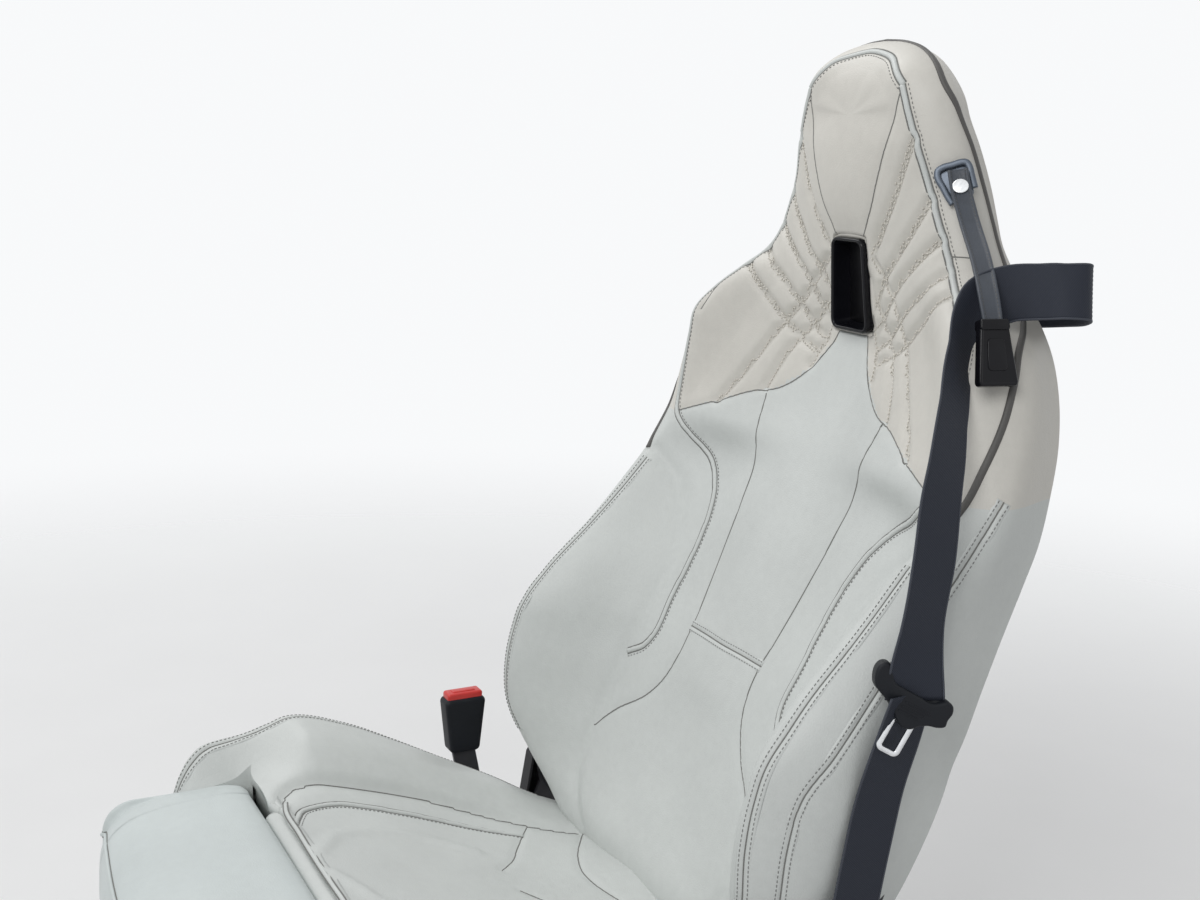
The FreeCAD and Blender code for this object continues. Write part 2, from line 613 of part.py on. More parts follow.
solid("headrest_pad", loft([[Vector(x, y, height) for x, y in (
    (-side_w, side_y), (-seam_w, seam_y), (0, middle), (seam_w, seam_y), (side_w, side_y),
    (rear_w, rear_y), (0.6 * rear_w, rear), (-0.6 * rear_w, rear), (-rear_w, rear_y))]
    for height, middle, seam_w, seam_y, side_w, side_y, rear_w, rear_y, rear in HEADREST]))

# Rear shell: one thin moulding behind all the pads below the headrest.
wall = size("shell_wall")
bulge = size("shell_bulge")
shell_rows = []
for height, side_w, start, rear_w, rear_y in (
        [(row[0], row[6], row[8], row[9], row[10]) for row in BACK[:-1]]
        + [(row[0], row[4], row[6], row[7], row[8]) for row in SHOULDER]):
    outer = [(side_w, start), (side_w - 3, (start + rear_y) / 2), (rear_w, rear_y - 4),
             (rear_w - 26, rear_y + 6), (0.35 * rear_w, rear_y + bulge)]
    inner = [(0.35 * rear_w, rear_y + bulge - wall), (rear_w - 27, rear_y + 6 - wall),
             (rear_w - wall, rear_y - 4 - wall), (side_w - 3 - wall, (start + rear_y) / 2),
             (side_w - wall, start)]
    points = outer + [(-x, y) for x, y in outer[::-1] + inner[::-1]] + inner
    shell_rows.append([Vector(x, y, height) for x, y in points])
shell = loft(shell_rows)
arm_in = size("member_inner") - size("disc_thick") - size("arm_play") - size("arm_sheet")
arm_sheet = size("arm_sheet")
hip = Vector(0, size("hip_back"), size("hip_rise"))
slot_width = size("shell_slot")
for side, hand in SIDES:
    slot_start = Vector(hand * (arm_in + arm_sheet / 2) - slot_width / 2,
                        hip.y + size("slot_back"), hip.z - size("slot_low"))
    shell = shell.cut(Part.makeBox(slot_width, size("slot_depth"), size("slot_height"),
                                   slot_start))
solid("back_shell", shell)

# Backrest frame: an arm up each side from the recliner, a low and a high cross tube.
arm_radius = size("arm_radius")
# Columns: distance back and height of a corner of the arm's plate, from the hip.
ARM_OUTLINE = ((8, 18), (arm_radius, 0), (52, 50), (163, 340), (141, 340), (26, 24))
pieces = []
for side, hand in SIDES:
    start = hand * arm_in if hand > 0 else -arm_in - arm_sheet
    boss = Part.makeCylinder(arm_radius, arm_sheet, Vector(start, hip.y, hip.z),
                             Vector(1, 0, 0))
    strip = prism([Vector(start, hip.y + y, hip.z + z) for y, z in ARM_OUTLINE],
                  Vector(arm_sheet, 0, 0))
    pin_length = (arm_sheet + size("arm_play") + size("disc_thick") + size("member_sheet")
                  + size("hip_pin_end"))
    if hand > 0:
        pin_length += size("cover_depth") + size("anchor_play")
    pin = Part.makeCylinder(size("hip_pin_radius"), pin_length,
                            Vector(hand * arm_in, hip.y, hip.z), Vector(hand, 0, 0))
    pieces.append(boss.fuse([strip, pin]))
# Columns: distance back and height of a cross tube, from the hip.
CROSS_TUBES = ((63, 80), (153, 325))
for back, rise in CROSS_TUBES:
    pieces.append(Part.makeCylinder(
        size("cross_tube_radius"), 2 * arm_in + arm_sheet,
        Vector(-arm_in - arm_sheet / 2, hip.y + back, hip.z + rise), Vector(1, 0, 0)))
solid("back_frame", pieces[-1].fuse(pieces[:-1]).removeSplitter())

# Belt route on the outboard side. Columns: middle of the webbing, direction of its width.
UPPER_BELT = (
    ((150, 467, 800), (0, 0, 1)),
    ((190, 467, 806), (0, 0, 1)),
    ((232, 453, 813), (0, 0.05, 1)),
    ((254, 425, 820), (0.15, -0.1, 1)),
    ((252, 392, 823), (0.45, -0.35, 0.8)),
    ((230, 343, 798), (0.1, -0.55, 0.83)),
    ((238, 330, 762), (0.1, -1, 0.05)),
    ((254, 306, 720), (0.1, -0.98, 0.08)),
    ((271, 276, 655), (0.04, -1, 0.04)),
    ((279, 266, 590), (0.1, -0.97, 0.08)),
    ((285, 256, 540), (0.38, -0.8, 0.42)),
)
LOWER_BELT = (
    ((281, 257, 528), (0.1, -0.88, 0.35)),
    ((270, 250, 470), (0, -1, 0.1)),
    ((268, 237, 390), (0, -1, 0)),
    ((267.1, 225, 306), (0, -1, 0)),
)


def ribbon(route, thick):
    """Flat webbing through its route, ruled from one section to the next."""
    middles = [Vector(*spot) for spot, _ in route]
    rows = []
    for index, (spot, across) in enumerate(route):
        before = middles[max(index - 1, 0)]
        after = middles[min(index + 1, len(middles) - 1)]
        along = (after - before).normalize()
        wide = Vector(*across)
        wide = (wide - along * wide.dot(along)).normalize()
        thin = along.cross(wide).normalize() * (thick / 2)
        wide = wide * (size("web_width") / 2)
        middle = Vector(*spot)
        rows.append([middle - wide - thin, middle + wide - thin, middle + wide + thin,
                     middle - wide + thin])
    return loft(rows)


def tilted_block(middle, across, along, spans):
    """A block about a middle point, turned to two directions."""
    across = Vector(*across).normalize()
    along = Vector(*along)
    along = (along - across * along.dot(across)).normalize()
    out = across.cross(along)
    wide, tall, thick = spans
    corner = Vector(*middle) - across * (wide / 2) - along * (tall / 2) - out * (thick / 2)
    outline = [corner, corner + across * wide, corner + across * wide + along * tall,
               corner + along * tall]
    return prism(outline, out * thick)


# Tongue and latch: where their middles lie on the route, and how they are turned.
TONGUE_MIDDLE = (284.5, 256, 531)
LATCH_MIDDLE = (287, 240, 500)
WINDOW_MIDDLE = (286, 236, 490)
TONGUE_ACROSS = (0.4, 0.78, -0.45)
TONGUE_ALONG = (0.1, 0.45, 0.85)
tongue = tilted_block(TONGUE_MIDDLE, TONGUE_ACROSS, TONGUE_ALONG,
                      (size("tongue_width"), size("tongue_height"), size("tongue_thick")))
solid("belt_tongue", tongue)
latch = tilted_block(LATCH_MIDDLE, TONGUE_ACROSS, TONGUE_ALONG,
                     (size("latch_width"), size("latch_length"), size("latch_sheet")))
window = tilted_block(WINDOW_MIDDLE, TONGUE_ACROSS, TONGUE_ALONG,
                      (size("window_width"), size("window_length"), size("tongue_thick")))
solid("belt_latch", latch.cut(window).cut(tongue))
solid("belt_webbing_lower", ribbon(LOWER_BELT, size("web_thick")).cut(tongue))

anchor_at = (size("member_inner") + size("member_sheet") + size("cover_gap")
             + size("cover_depth") + size("anchor_play"))
anchor_half = size("anchor_half")
anchor_reach = size("anchor_reach")
anchor_eye = Part.makeCylinder(anchor_half, size("anchor_sheet"),
                               Vector(anchor_at, hip.y, hip.z), Vector(1, 0, 0))
tab_half = size("anchor_tab_half")
tab_top = anchor_reach + size("anchor_tab_height")
anchor_tab = prism([Vector(anchor_at, hip.y + y, hip.z + z) for y, z in (
    (-anchor_half, 0), (anchor_half, 0), (tab_half, anchor_reach), (tab_half, tab_top),
    (-tab_half, tab_top), (-tab_half, anchor_reach))], Vector(size("anchor_sheet"), 0, 0))
anchor_bore = Part.makeCylinder(size("hip_pin_radius"), size("anchor_sheet") * 3,
                                Vector(anchor_at - size("anchor_sheet"), hip.y, hip.z),
                                Vector(1, 0, 0))
solid("belt_anchor", anchor_eye.fuse(anchor_tab).cut(anchor_bore).removeSplitter())

# Belt guide: bracket on the headrest's side, strap with a snap, clip over the shoulder.
# Middles of the bracket, the clip and the belt's outlet, and the two ends of the strap.
BRACKET_MIDDLE = (113, 398.4, 903)
CLIP_MIDDLE = (232, 361, 772)
OUTLET_MIDDLE = (152, 460, 800)
guide_top = Vector(114, 397.5, 903)
guide_end = Vector(221, 361.5, 797)
fall = guide_end - guide_top
solid("guide_bracket", tilted_block(
    BRACKET_MIDDLE, (0.66, 0.75, 0.1), (-0.3, 0, 1),
    (size("bracket_width"), size("bracket_height"), size("bracket_thick"))))
clip = tilted_block(CLIP_MIDDLE, (-0.15, 0.97, 0.15), (-0.4, 0, 0.92),
                    (size("clip_width"), size("clip_height"), size("clip_thick")))
solid("guide_clip", clip.cut(ribbon(UPPER_BELT, size("web_thick") + 2 * size("clip_play"))))
strap = tilted_block(guide_top + fall * 0.5, fall, (-0.25, 0.9, 0.3),
                     (fall.Length, size("strap_width"), size("strap_thick")))
solid("guide_strap", strap.cut(clip).cut(nodes["guide_bracket"].Shape))
outlet = tilted_block(OUTLET_MIDDLE, (1, -0.2, 0), (0, 0, 1),
                      (size("outlet_width"), size("outlet_length"), size("outlet_depth")))
outlet = outlet.cut(nodes["back_shell"].Shape)
solid("belt_outlet", outlet)
solid("belt_webbing_upper", ribbon(UPPER_BELT, size("web_thick")).cut(tongue).cut(outlet))

# Buckle: a stalk from the inboard side member, a body, and the red button in its top.
stalk_x = -(size("member_inner") + size("member_sheet") + size("cover_gap")
            + size("cover_depth") + 8)
buckle_back = size("buckle_back")
buckle_top = size("buckle_top")
body_low = buckle_top - size("buckle_height")
body = prism([Vector(stalk_x - size("buckle_thick") / 2, y, z) for y, z in (
    (buckle_back - size("buckle_width") / 2, buckle_top - 4),
    (buckle_back - size("buckle_width") / 2 + 6, body_low),
    (buckle_back + size("buckle_width") / 2 - 2, body_low),
    (buckle_back + size("buckle_width") / 2, buckle_top + 2))],
    Vector(size("buckle_thick"), 0, 0))
button = prism([Vector(stalk_x - size("buckle_thick") / 2 + 3, y, z) for y, z in (
    (buckle_back - size("buckle_width") / 2 + 3, buckle_top - size("button_depth")),
    (buckle_back + size("buckle_width") / 2 - 3, buckle_top - size("button_depth") + 4),
    (buckle_back + size("buckle_width") / 2 - 3, buckle_top + 5),
    (buckle_back - size("buckle_width") / 2 + 3, buckle_top + 1))],
    Vector(size("buckle_thick") - 6, 0, 0))
solid("buckle_body", body.cut(button))
solid("buckle_button", button)
foot_y = size("stalk_foot_back")
foot_z = size("stalk_foot_rise")
stalk_half = size("stalk_width") / 2
stalk = prism([Vector(stalk_x - size("stalk_sheet") / 2, y, z) for y, z in (
    (foot_y - stalk_half, foot_z - stalk_half), (foot_y + stalk_half, foot_z - stalk_half),
    (foot_y + stalk_half, foot_z + 10), (buckle_back + stalk_half, body_low),
    (buckle_back - stalk_half, body_low), (foot_y - stalk_half, foot_z + 10))],
    Vector(size("stalk_sheet"), 0, 0))
boss_end = -(size("member_inner") + size("member_sheet"))
stalk_boss = Part.makeCylinder(size("stalk_boss_radius"), boss_end - stalk_x,
                               Vector(stalk_x, foot_y, foot_z), Vector(1, 0, 0))
solid("buckle_stalk", stalk.fuse(stalk_boss).removeSplitter())
cover = nodes["side_cover_inboard"]
boss_room = rod("side_cover_inboard_boss_room", (
    "-member_inner - member_sheet - 2*cover_depth", "stalk_foot_back", "stalk_foot_rise"),
    "stalk_boss_radius + 1", "2*cover_depth + member_sheet/2")
keep("side_cover_inboard", cut("side_cover_inboard_open", cover, boss_room))
cover.Label = "side_cover_inboard_closed"
nodes["side_cover_inboard"].Label = "side_cover_inboard"

# Switches on the outboard cover: one lever for the track and height, one for the recline.
SWITCHES = (("switch_seat", -70, 150, 58, 14), ("switch_back", 4, 152, 14, 46))
for label, back, rise, long_side, tall_side in SWITCHES:
    keep(label, block(label + "_key", (
        "member_inner + member_sheet + cover_gap + cover_depth",
        f"{back} - {long_side}/2", f"{rise} - {tall_side}/2"),
        ("switch_depth", long_side, tall_side)))

doc.recompute()
for thing in doc.Objects:
    bad = [state for state in thing.State if state in ("Invalid", "Error")]
    if bad:
        raise RuntimeError(f"{thing.Label} is {bad}")
os.makedirs("parts", exist_ok=True)
for label, thing in nodes.items():
    shape = thing.Shape
    if shape.isNull() or not shape.isValid():
        raise RuntimeError(f"{label} has no valid shape")
    shape.exportStep(f"parts/{label}.step")
    print(label, len(shape.Solids), round(shape.Volume / 1000, 1))
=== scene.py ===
"""Looks of the driver's sports seat: leather, seams, belt, plastic, metal, floor, light, camera."""
import math

import bmesh
import bpy
import numpy as np
from mathutils import Matrix, Vector
from mathutils.bvhtree import BVHTree
from mathutils.kdtree import KDTree


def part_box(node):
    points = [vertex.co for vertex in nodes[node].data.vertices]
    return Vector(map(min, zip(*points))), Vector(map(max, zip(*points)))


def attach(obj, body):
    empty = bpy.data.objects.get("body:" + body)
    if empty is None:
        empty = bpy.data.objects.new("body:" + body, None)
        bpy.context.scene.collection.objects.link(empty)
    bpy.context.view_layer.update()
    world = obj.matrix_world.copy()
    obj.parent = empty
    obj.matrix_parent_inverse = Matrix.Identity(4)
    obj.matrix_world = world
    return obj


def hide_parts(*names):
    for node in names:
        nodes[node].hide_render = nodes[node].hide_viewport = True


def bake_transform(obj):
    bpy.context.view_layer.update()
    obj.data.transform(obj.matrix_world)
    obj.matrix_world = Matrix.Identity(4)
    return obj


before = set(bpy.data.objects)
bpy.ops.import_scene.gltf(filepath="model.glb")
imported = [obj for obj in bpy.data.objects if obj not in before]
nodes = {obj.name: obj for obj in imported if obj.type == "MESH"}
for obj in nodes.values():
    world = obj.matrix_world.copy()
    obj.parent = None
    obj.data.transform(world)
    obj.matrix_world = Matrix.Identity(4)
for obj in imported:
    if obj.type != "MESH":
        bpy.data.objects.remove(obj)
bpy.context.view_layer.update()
MM = 0.001

# Camera, at the photograph's viewing angle, for an image of 1200 x 900
EYE = (1.1072, -0.4507, 0.9299)
AZIMUTH = math.radians(62.40)
ELEVATION = math.radians(12.13)
ROLL = math.radians(1.666)
SENSOR = 36.0
FOCAL_PIXELS = 1458.7
IMAGE_WIDTH = 1200

# Right half of the backrest, one row a height, all in millimetres. Columns: height, depth of
# the middle, then half width and depth of the root, the crest, the side, the rear edge.
BACK_ROWS = (
    (206, 203, 100, 203, 128, 207, 140, 214, 150, 258),
    (222, 184, 102, 184, 148, 190, 165, 204, 172, 270),
    (240, 176, 110, 177, 166, 180, 188, 200, 190, 279),
    (262, 177, 124, 177, 192, 176, 212, 198, 208, 286),
    (290, 190, 136, 185, 214, 166, 231, 194, 224, 295),
    (346, 215, 140, 206, 231, 146, 250, 175, 238, 314),
    (399, 237, 141, 228, 233, 147, 254, 180, 242, 333),
    (425, 246, 142, 240, 233, 153, 255, 187, 242, 341),
    (447, 256, 142, 250, 232, 160, 255, 195, 243, 350),
    (485, 277, 145, 269, 229, 188, 255, 222, 243, 364),
    (534, 301, 157, 294, 224, 237, 254, 268, 243, 383),
    (575, 320, 176, 312, 222, 275, 254, 303, 243, 400),
    (612, 338, 196, 322, 218, 306, 255, 335, 243, 414),
    (648, 355, 194, 328, 212, 326, 256, 355, 240, 424),
    (690, 374, 175, 343, 211, 334, 251, 372, 234, 434),
    (730, 388, 150, 358, 211, 341, 243, 382, 224, 439),
    (754, 396, 135, 367, 210, 345, 235, 388, 214, 441),
    (781, 394, 115, 375, 190, 358, 213, 396, 194, 444),
    (803, 391, 95, 381, 166, 373, 190, 402, 171, 446),
    (827, 386, 80, 383, 138, 388, 163, 410, 148, 448),
    (848, 383, 72, 383, 122, 391, 146, 414, 130, 450),
    (867, 377, 66, 381, 113, 391, 136, 415, 122, 450),
    (894, 372, 60, 377, 100, 389, 124, 415, 112, 449),
    (932, 371, 55, 374, 87, 382, 112, 412, 101, 441),
    (955, 374, 50, 376, 79, 379, 104, 409, 93, 435),
)
# The head's top, on rays that fan out from a focus. Columns: angle above the horizontal, then
# half width, depth and height of the root, the front seam, the side, the rear edge.
FOCUS = (0, 374, 955)
FAN_ROWS = (
    (10.7, 50, 375, 965, 74, 378, 969, 98, 408, 974, 88, 432, 972),
    (30, 41, 376, 979, 60, 377, 990, 77, 405, 1000, 70, 427, 997),
    (48, 30, 378, 989, 44, 384, 1004, 53, 405, 1013.5, 50, 426, 1010),
    (67, 15, 381, 994, 23, 391, 1010, 27, 407, 1020, 26, 425, 1017),
    (90, 0, 382, 996, 0, 394, 1013, 0, 408, 1022, 0, 424, 1019),
)
ROW_STEP = 3.0
FRONT_COUNTS = (36, 36, 16, 26)
REAR_COUNTS = (12, 24)
REAR_CROWN = 16
REAR_SHOULDER = (0.78, 12)
REAR_FOCUS = (0, 448, 955)

# Right half of the cushion, one row a depth. Columns: depth, height of the middle, height of
# the root, then half width and height of the crest and of the side.
CUSHION_ROWS = (
    (-128, 324, 330, 236, 355, 249, 326),
    (-84, 310, 317, 238, 358, 252, 328),
    (-34, 293, 301, 238, 342, 252, 314),
    (20, 276, 283, 236, 315, 250, 290),
    (68, 263, 267, 232, 289, 246, 268),
    (120, 254, 252, 222, 263, 236, 244),
    (166, 250, 240, 205, 240, 222, 224),
    (204, 247, 233, 188, 228, 204, 212),
)
# The bolsters' noses beside the thigh support. Columns: depth, half width and height of the
# inner edge, then half width and height of the crest and of the side.
CUSHION_NOSE = (
    (-207, 210, 289, 225, 293, 236, 270),
    (-204, 208, 297, 227, 302, 240, 280),
    (-190, 206, 306, 230, 330, 244.5, 300),
    (-170, 204.5, 313, 233.3, 345.5, 247, 313),
    (-152, 203.6, 317, 234.8, 352, 248, 319.5),
)
CUSHION_ROOT = 138
CUSHION_FOOT = 199
CUSHION_TUCK = 4
CUSHION_COUNTS = (36, 22, 14, 12, 22)
POLE_SLOPE = 0.16
# Where sight lines to a surface start from, and their way.
FROM_FRONT = ((0, -500, 0), (0, 1, 0))
FROM_ABOVE = ((0, 0, 900), (0, 0, -1))


def smooth(knots, values, where):
    """Values at new places on a smooth curve through the knots, with limited slopes."""
    knots = np.asarray(knots, float)
    values = np.asarray(values, float)
    where = np.asarray(where, float)
    flat = values.ndim == 1
    if flat:
        values = values[:, None]
    step = np.diff(knots)[:, None]
    slope = np.diff(values, axis=0) / step
    lean = np.zeros_like(values)
    lean[1:-1] = (slope[:-1] * step[1:] + slope[1:] * step[:-1]) / (step[1:] + step[:-1])
    lean[0] = slope[0]
    lean[-1] = slope[-1]
    spot = np.clip(np.searchsorted(knots, where, side="right") - 1, 0, len(knots) - 2)
    span = step[spot]
    part = ((where - knots[spot]) / step[spot, 0])[:, None]
    square = part ** 2
    cube = part ** 3
    found = (2 * cube - 3 * square + 1) * values[spot]
    found += (cube - 2 * square + part) * span * lean[spot]
    found += (3 * square - 2 * cube) * values[spot + 1]
    found += (cube - square) * span * lean[spot + 1]
    return found[:, 0] if flat else found


def lengths(path):
    """Running length along a path of points."""
    gaps = np.linalg.norm(np.diff(path, axis=0), axis=1)
    return np.concatenate([[0], np.cumsum(np.maximum(gaps, 1e-6))])


def unit(vectors):
    """One vector or many, each at a length of one."""
    vectors = np.asarray(vectors, float)
    return vectors / np.maximum(np.linalg.norm(vectors, axis=-1, keepdims=True), 1e-9)


def sampled(run, values, where):
    """Rows of three values read off at new running lengths."""
    return np.stack([np.interp(where, run, values[:, axis]) for axis in range(3)], axis=1)


def turns(count):
    """Even angles once round."""
    return np.linspace(0, 2 * math.pi, count, endpoint=False)


def section(keys, counts, mirrored=True):
    """Points along one row through its keys; the first key lies on the middle line."""
    path = keys
    start = 0
    if mirrored:
        twin = keys[1] * (-1, 1, 1)
        rise = keys[1][2] - keys[0][2]
        twin[1] -= 2 * POLE_SLOPE * rise
        twin[2] -= 2 * rise
        path = np.vstack([twin, keys])
        start = 1
    knots = lengths(path)
    where = []
    for index, count in enumerate(counts):
        low = knots[index + start]
        high = knots[index + start + 1]
        where.append(np.linspace(low, high, count, endpoint=False))
    where.append([knots[-1]])
    return smooth(knots, path, np.concatenate(where))


def resample(stations, guide, step):
    """Rows of key points at an even step along one of the key columns."""
    knots = lengths(stations[:, guide])
    total = int(knots[-1] / step)
    where = np.linspace(0, knots[-1], total)
    flat = smooth(knots, stations.reshape(len(stations), -1), where)
    return flat.reshape(total, -1, 3)


def mirror_rows(half):
    """A full row of points from its right half, whose first point is on the middle line."""
    left = half[:, :0:-1] * (-1, 1, 1)
    return np.concatenate([left, half], axis=1)


def back_stations():
    """Key points of the backrest's rows, front and rear, bottom to top."""
    rows = []
    share, behind = REAR_SHOULDER
    for height, middle, *pairs in BACK_ROWS:
        keys = [(0, middle, height)]
        for index in range(0, 8, 2):
            keys.append((pairs[index], pairs[index + 1], height))
        edge = keys[-1]
        keys.append((edge[0] * share, edge[1] + behind, height))
        keys.append((0, edge[1] + REAR_CROWN, height))
        rows.append(keys)
    for angle, *spots in FAN_ROWS:
        keys = [FOCUS]
        for index in range(0, 12, 3):
            keys.append(tuple(spots[index:index + 3]))
        edge = np.array(keys[-1])
        inner = edge + (np.array(REAR_FOCUS) - edge) * (1 - share)
        inner[1] = edge[1] + behind
        keys.append(tuple(inner))
        keys.append(REAR_FOCUS)
        rows.append(keys)
    return np.array(rows, float)


def vertex_normals(points, faces):
    """Smooth normals from the faces' areas; points N x 3, faces M x 4 with triangles repeated."""
    a, b, c, d = (points[faces[:, corner]] for corner in range(4))
    cross = np.cross(c - a, d - b)
    found = np.zeros_like(points)
    for corner in range(4):
        np.add.at(found, faces[:, corner], cross)
    return unit(found)


def grid_faces(ids):
    """Quads of a grid of point numbers."""
    quads = np.stack([ids[:-1, :-1], ids[:-1, 1:], ids[1:, 1:], ids[1:, :-1]], axis=-1)
    return quads.reshape(-1, 4)


def numbered(grid, first=0):
    """The numbers of a grid's points, row by row."""
    return first + np.arange(grid.shape[0] * grid.shape[1]).reshape(grid.shape[:2])


def tidy_faces(faces):
    """Faces as lists without repeated corners; faces with under three corners are left out."""
    kept = []
    for face in faces.tolist():
        corners = [n for i, n in enumerate(face) if n != face[i - 1]]
        if len(set(corners)) == len(corners) and len(corners) > 2:
            kept.append(corners)
    return kept


def in_scene(name, data):
    """A new object, linked to the scene."""
    made = bpy.data.objects.new(name, data)
    bpy.context.scene.collection.objects.link(made)
    return made


def new_object(name, points, faces, body, material, node=None):
    """A smooth mesh object in metres that rides on a body and may stand for a node."""
    mesh = bpy.data.meshes.new(name)
    mesh.from_pydata((np.asarray(points) * MM).tolist(), [], faces)
    mesh.polygons.foreach_set("use_smooth", [True] * len(mesh.polygons))
    mesh.materials.append(material)
    made = in_scene(name, mesh)
    if body:
        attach(made, body)
    if node:
        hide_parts(node)
    return made


def shell_piece(name, points, normals, faces, depth, body, material):
    """A closed piece: the given front faces, a backing set in by depth, and walls between."""
    used = np.unique(faces)
    count = len(used)
    renumber = np.full(len(points), -1)
    renumber[used] = np.arange(count)
    front = points[used]
    lean = normals[used]
    faces = tidy_faces(renumber[faces])
    rear = [[n + count for n in reversed(face)] for face in faces]
    edges = dict.fromkeys(pair for face in faces for pair in zip(face, face[1:] + face[:1]))
    walls = [[end, start, start + count, end + count]
             for start, end in edges if (end, start) not in edges]
    both_sides = np.vstack([front, front - lean * depth])
    made = new_object(name, both_sides, faces + rear + walls, body, material)
    front_corners = [n for face in faces for n in face]
    rear_corners = [n - count for face in rear for n in face]
    loops = np.vstack([lean[front_corners], -lean[rear_corners], np.zeros((4 * len(walls), 3))])
    made.data.normals_split_custom_set(loops.tolist())
    return made


class Wrap:
    """A smooth surface in millimetres: its points, faces, normals, and a tree to land on it."""

    def __init__(self, points, faces):
        self.points = points
        self.faces = faces
        self.renew()

    def renew(self):
        self.normals = vertex_normals(self.points, self.faces)
        self.tree = BVHTree.FromPolygons(self.points.tolist(), tidy_faces(self.faces))

    def push(self, distance):
        """Moves every point along its normal."""
        self.points = self.points + self.normals * distance[:, None]
        self.renew()

    def relax(self, weight, rounds):
        """Moves inner points towards the mean of their neighbours, where weight isn't zero."""
        quads = np.array([face for face in self.faces if len(face) == 4])
        starts = np.concatenate([quads, np.roll(quads, -1, axis=1)]).ravel()
        ends = np.concatenate([np.roll(quads, -1, axis=1), quads]).ravel()
        corners = np.bincount(quads.ravel(), minlength=len(self.points))
        share = (weight * (corners == 4))[:, None]
        degree = np.maximum(np.bincount(starts, minlength=len(self.points)), 1)[:, None]
        for _ in range(rounds):
            total = np.zeros_like(self.points)
            np.add.at(total, starts, self.points[ends])
            self.points = self.points + share * (total / degree - self.points)
        self.renew()

    def land(self, spots):
        """The nearest points on the surface, and the surface's normals there."""
        found = []
        lean = []
        for spot in spots:
            place, normal, _, _ = self.tree.find_nearest(Vector(spot))
            found.append(tuple(place))
            lean.append(tuple(normal))
        return np.array(found), np.array(lean)

    def seen(self, spots, eye, way):
        """Where a line through each spot, along way from eye's side, meets the surface first."""
        found = []
        for spot in spots:
            start = Vector(spot) + Vector(eye)
            place, _, _, _ = self.tree.ray_cast(start, Vector(way))
            if place is None:
                place, _, _, _ = self.tree.find_nearest(Vector(spot))
            found.append(tuple(place))
        return np.array(found)


def even(path, step):
    """A smooth path through a few points, cut into even steps."""
    path = np.array(path, float)
    knots = lengths(path)
    fine = smooth(knots, path, np.linspace(0, knots[-1], 400))
    run = lengths(fine)
    count = max(int(run[-1] / step), 2)
    return sampled(run, fine, np.linspace(0, run[-1], count + 1))


def soften(values, rounds):
    """A running mean along a path that keeps its two ends."""
    for _ in range(rounds):
        inner = (values[:-2] + 2 * values[1:-1] + values[2:]) / 4
        values = np.vstack([values[:1], inner, values[-1:]])
    return values


def settle(wrap, path):
    """A path laid on a surface, and its evened normals there."""
    path, lean = wrap.land(path)
    return path, unit(soften(lean, 6))


def trace(wrap, knots, step=2.0, view="front"):
    """A seam's path on a surface and its normals there.

    Knots of two values are across and height, seen from the front, or across and depth, seen
    from above; knots of three values are points in space.
    """
    if len(knots[0]) == 2 and view == "front":
        spots = wrap.seen([(x, 0, z) for x, z in knots], *FROM_FRONT)
    elif len(knots[0]) == 2:
        spots = wrap.seen([(x, y, 0) for x, y in knots], *FROM_ABOVE)
    else:
        spots = knots
    path, _ = wrap.land(even(spots, step))
    return settle(wrap, soften(path, 2))


def flip(knots):
    """The same seam on the other side."""
    return [(-knot[0], *knot[1:]) for knot in knots]


def nearness(wrap, paths, reach):
    """Each surface point's distance to the nearest of some paths, at most reach."""
    spots = np.vstack(paths)
    tree = KDTree(len(spots))
    for index, spot in enumerate(spots):
        tree.insert(spot, index)
    tree.balance()
    low = spots.min(axis=0) - reach
    high = spots.max(axis=0) + reach
    near = np.all((wrap.points > low) & (wrap.points < high), axis=1)
    found = np.full(len(wrap.points), float(reach))
    for index in np.flatnonzero(near):
        distance = tree.find(wrap.points[index])[2]
        if distance < reach:
            found[index] = distance
    return found


def tube_faces(rows, size, closed=False):
    """Faces between rings of points, with a face at either end unless the rings close a loop."""
    faces = []
    for row in range(rows if closed else rows - 1):
        here = row * size
        there = (row + 1) % rows * size
        for index in range(size):
            after = (index + 1) % size
            faces.append([here + index, here + after, there + after, there + index])
    if not closed:
        faces.append(list(range(size))[::-1])
        faces.append([(rows - 1) * size + index for index in range(size)])
    return faces


def flipped(face):
    """A face turned over, with the same first corner."""
    return face[:1] + face[:0:-1]


def shifted(path, lean, across, up=0.0):
    """A path set off sideways and up on its surface."""
    ahead = unit(np.gradient(path, axis=0))
    return path + np.cross(ahead, lean) * across + lean * up


THREAD_RING = 5
# Columns: place along the thread and thickness, as shares.
THREAD_STATIONS = ((-0.36, 0.8), (0.0, 1.0), (0.36, 0.8))


def thread_shape():
    """A stitch as points in shares of its span, its width and its height, and its faces."""
    points = [(-0.5, 0, 0)]
    for along, share in THREAD_STATIONS:
        points += [(along, share * math.cos(a), share * math.sin(a)) for a in turns(THREAD_RING)]
    points.append((0.5, 0, 0))
    last = len(points) - 1
    tube = tube_faces(len(THREAD_STATIONS), THREAD_RING)[:-2]
    faces = [flipped([n + 1 for n in face]) for face in tube]
    for index in range(THREAD_RING):
        after = (index + 1) % THREAD_RING
        faces.append([0, 1 + index, 1 + after])
        faces.append([last, last - THREAD_RING + after, last - THREAD_RING + index])
    return np.array(points), faces


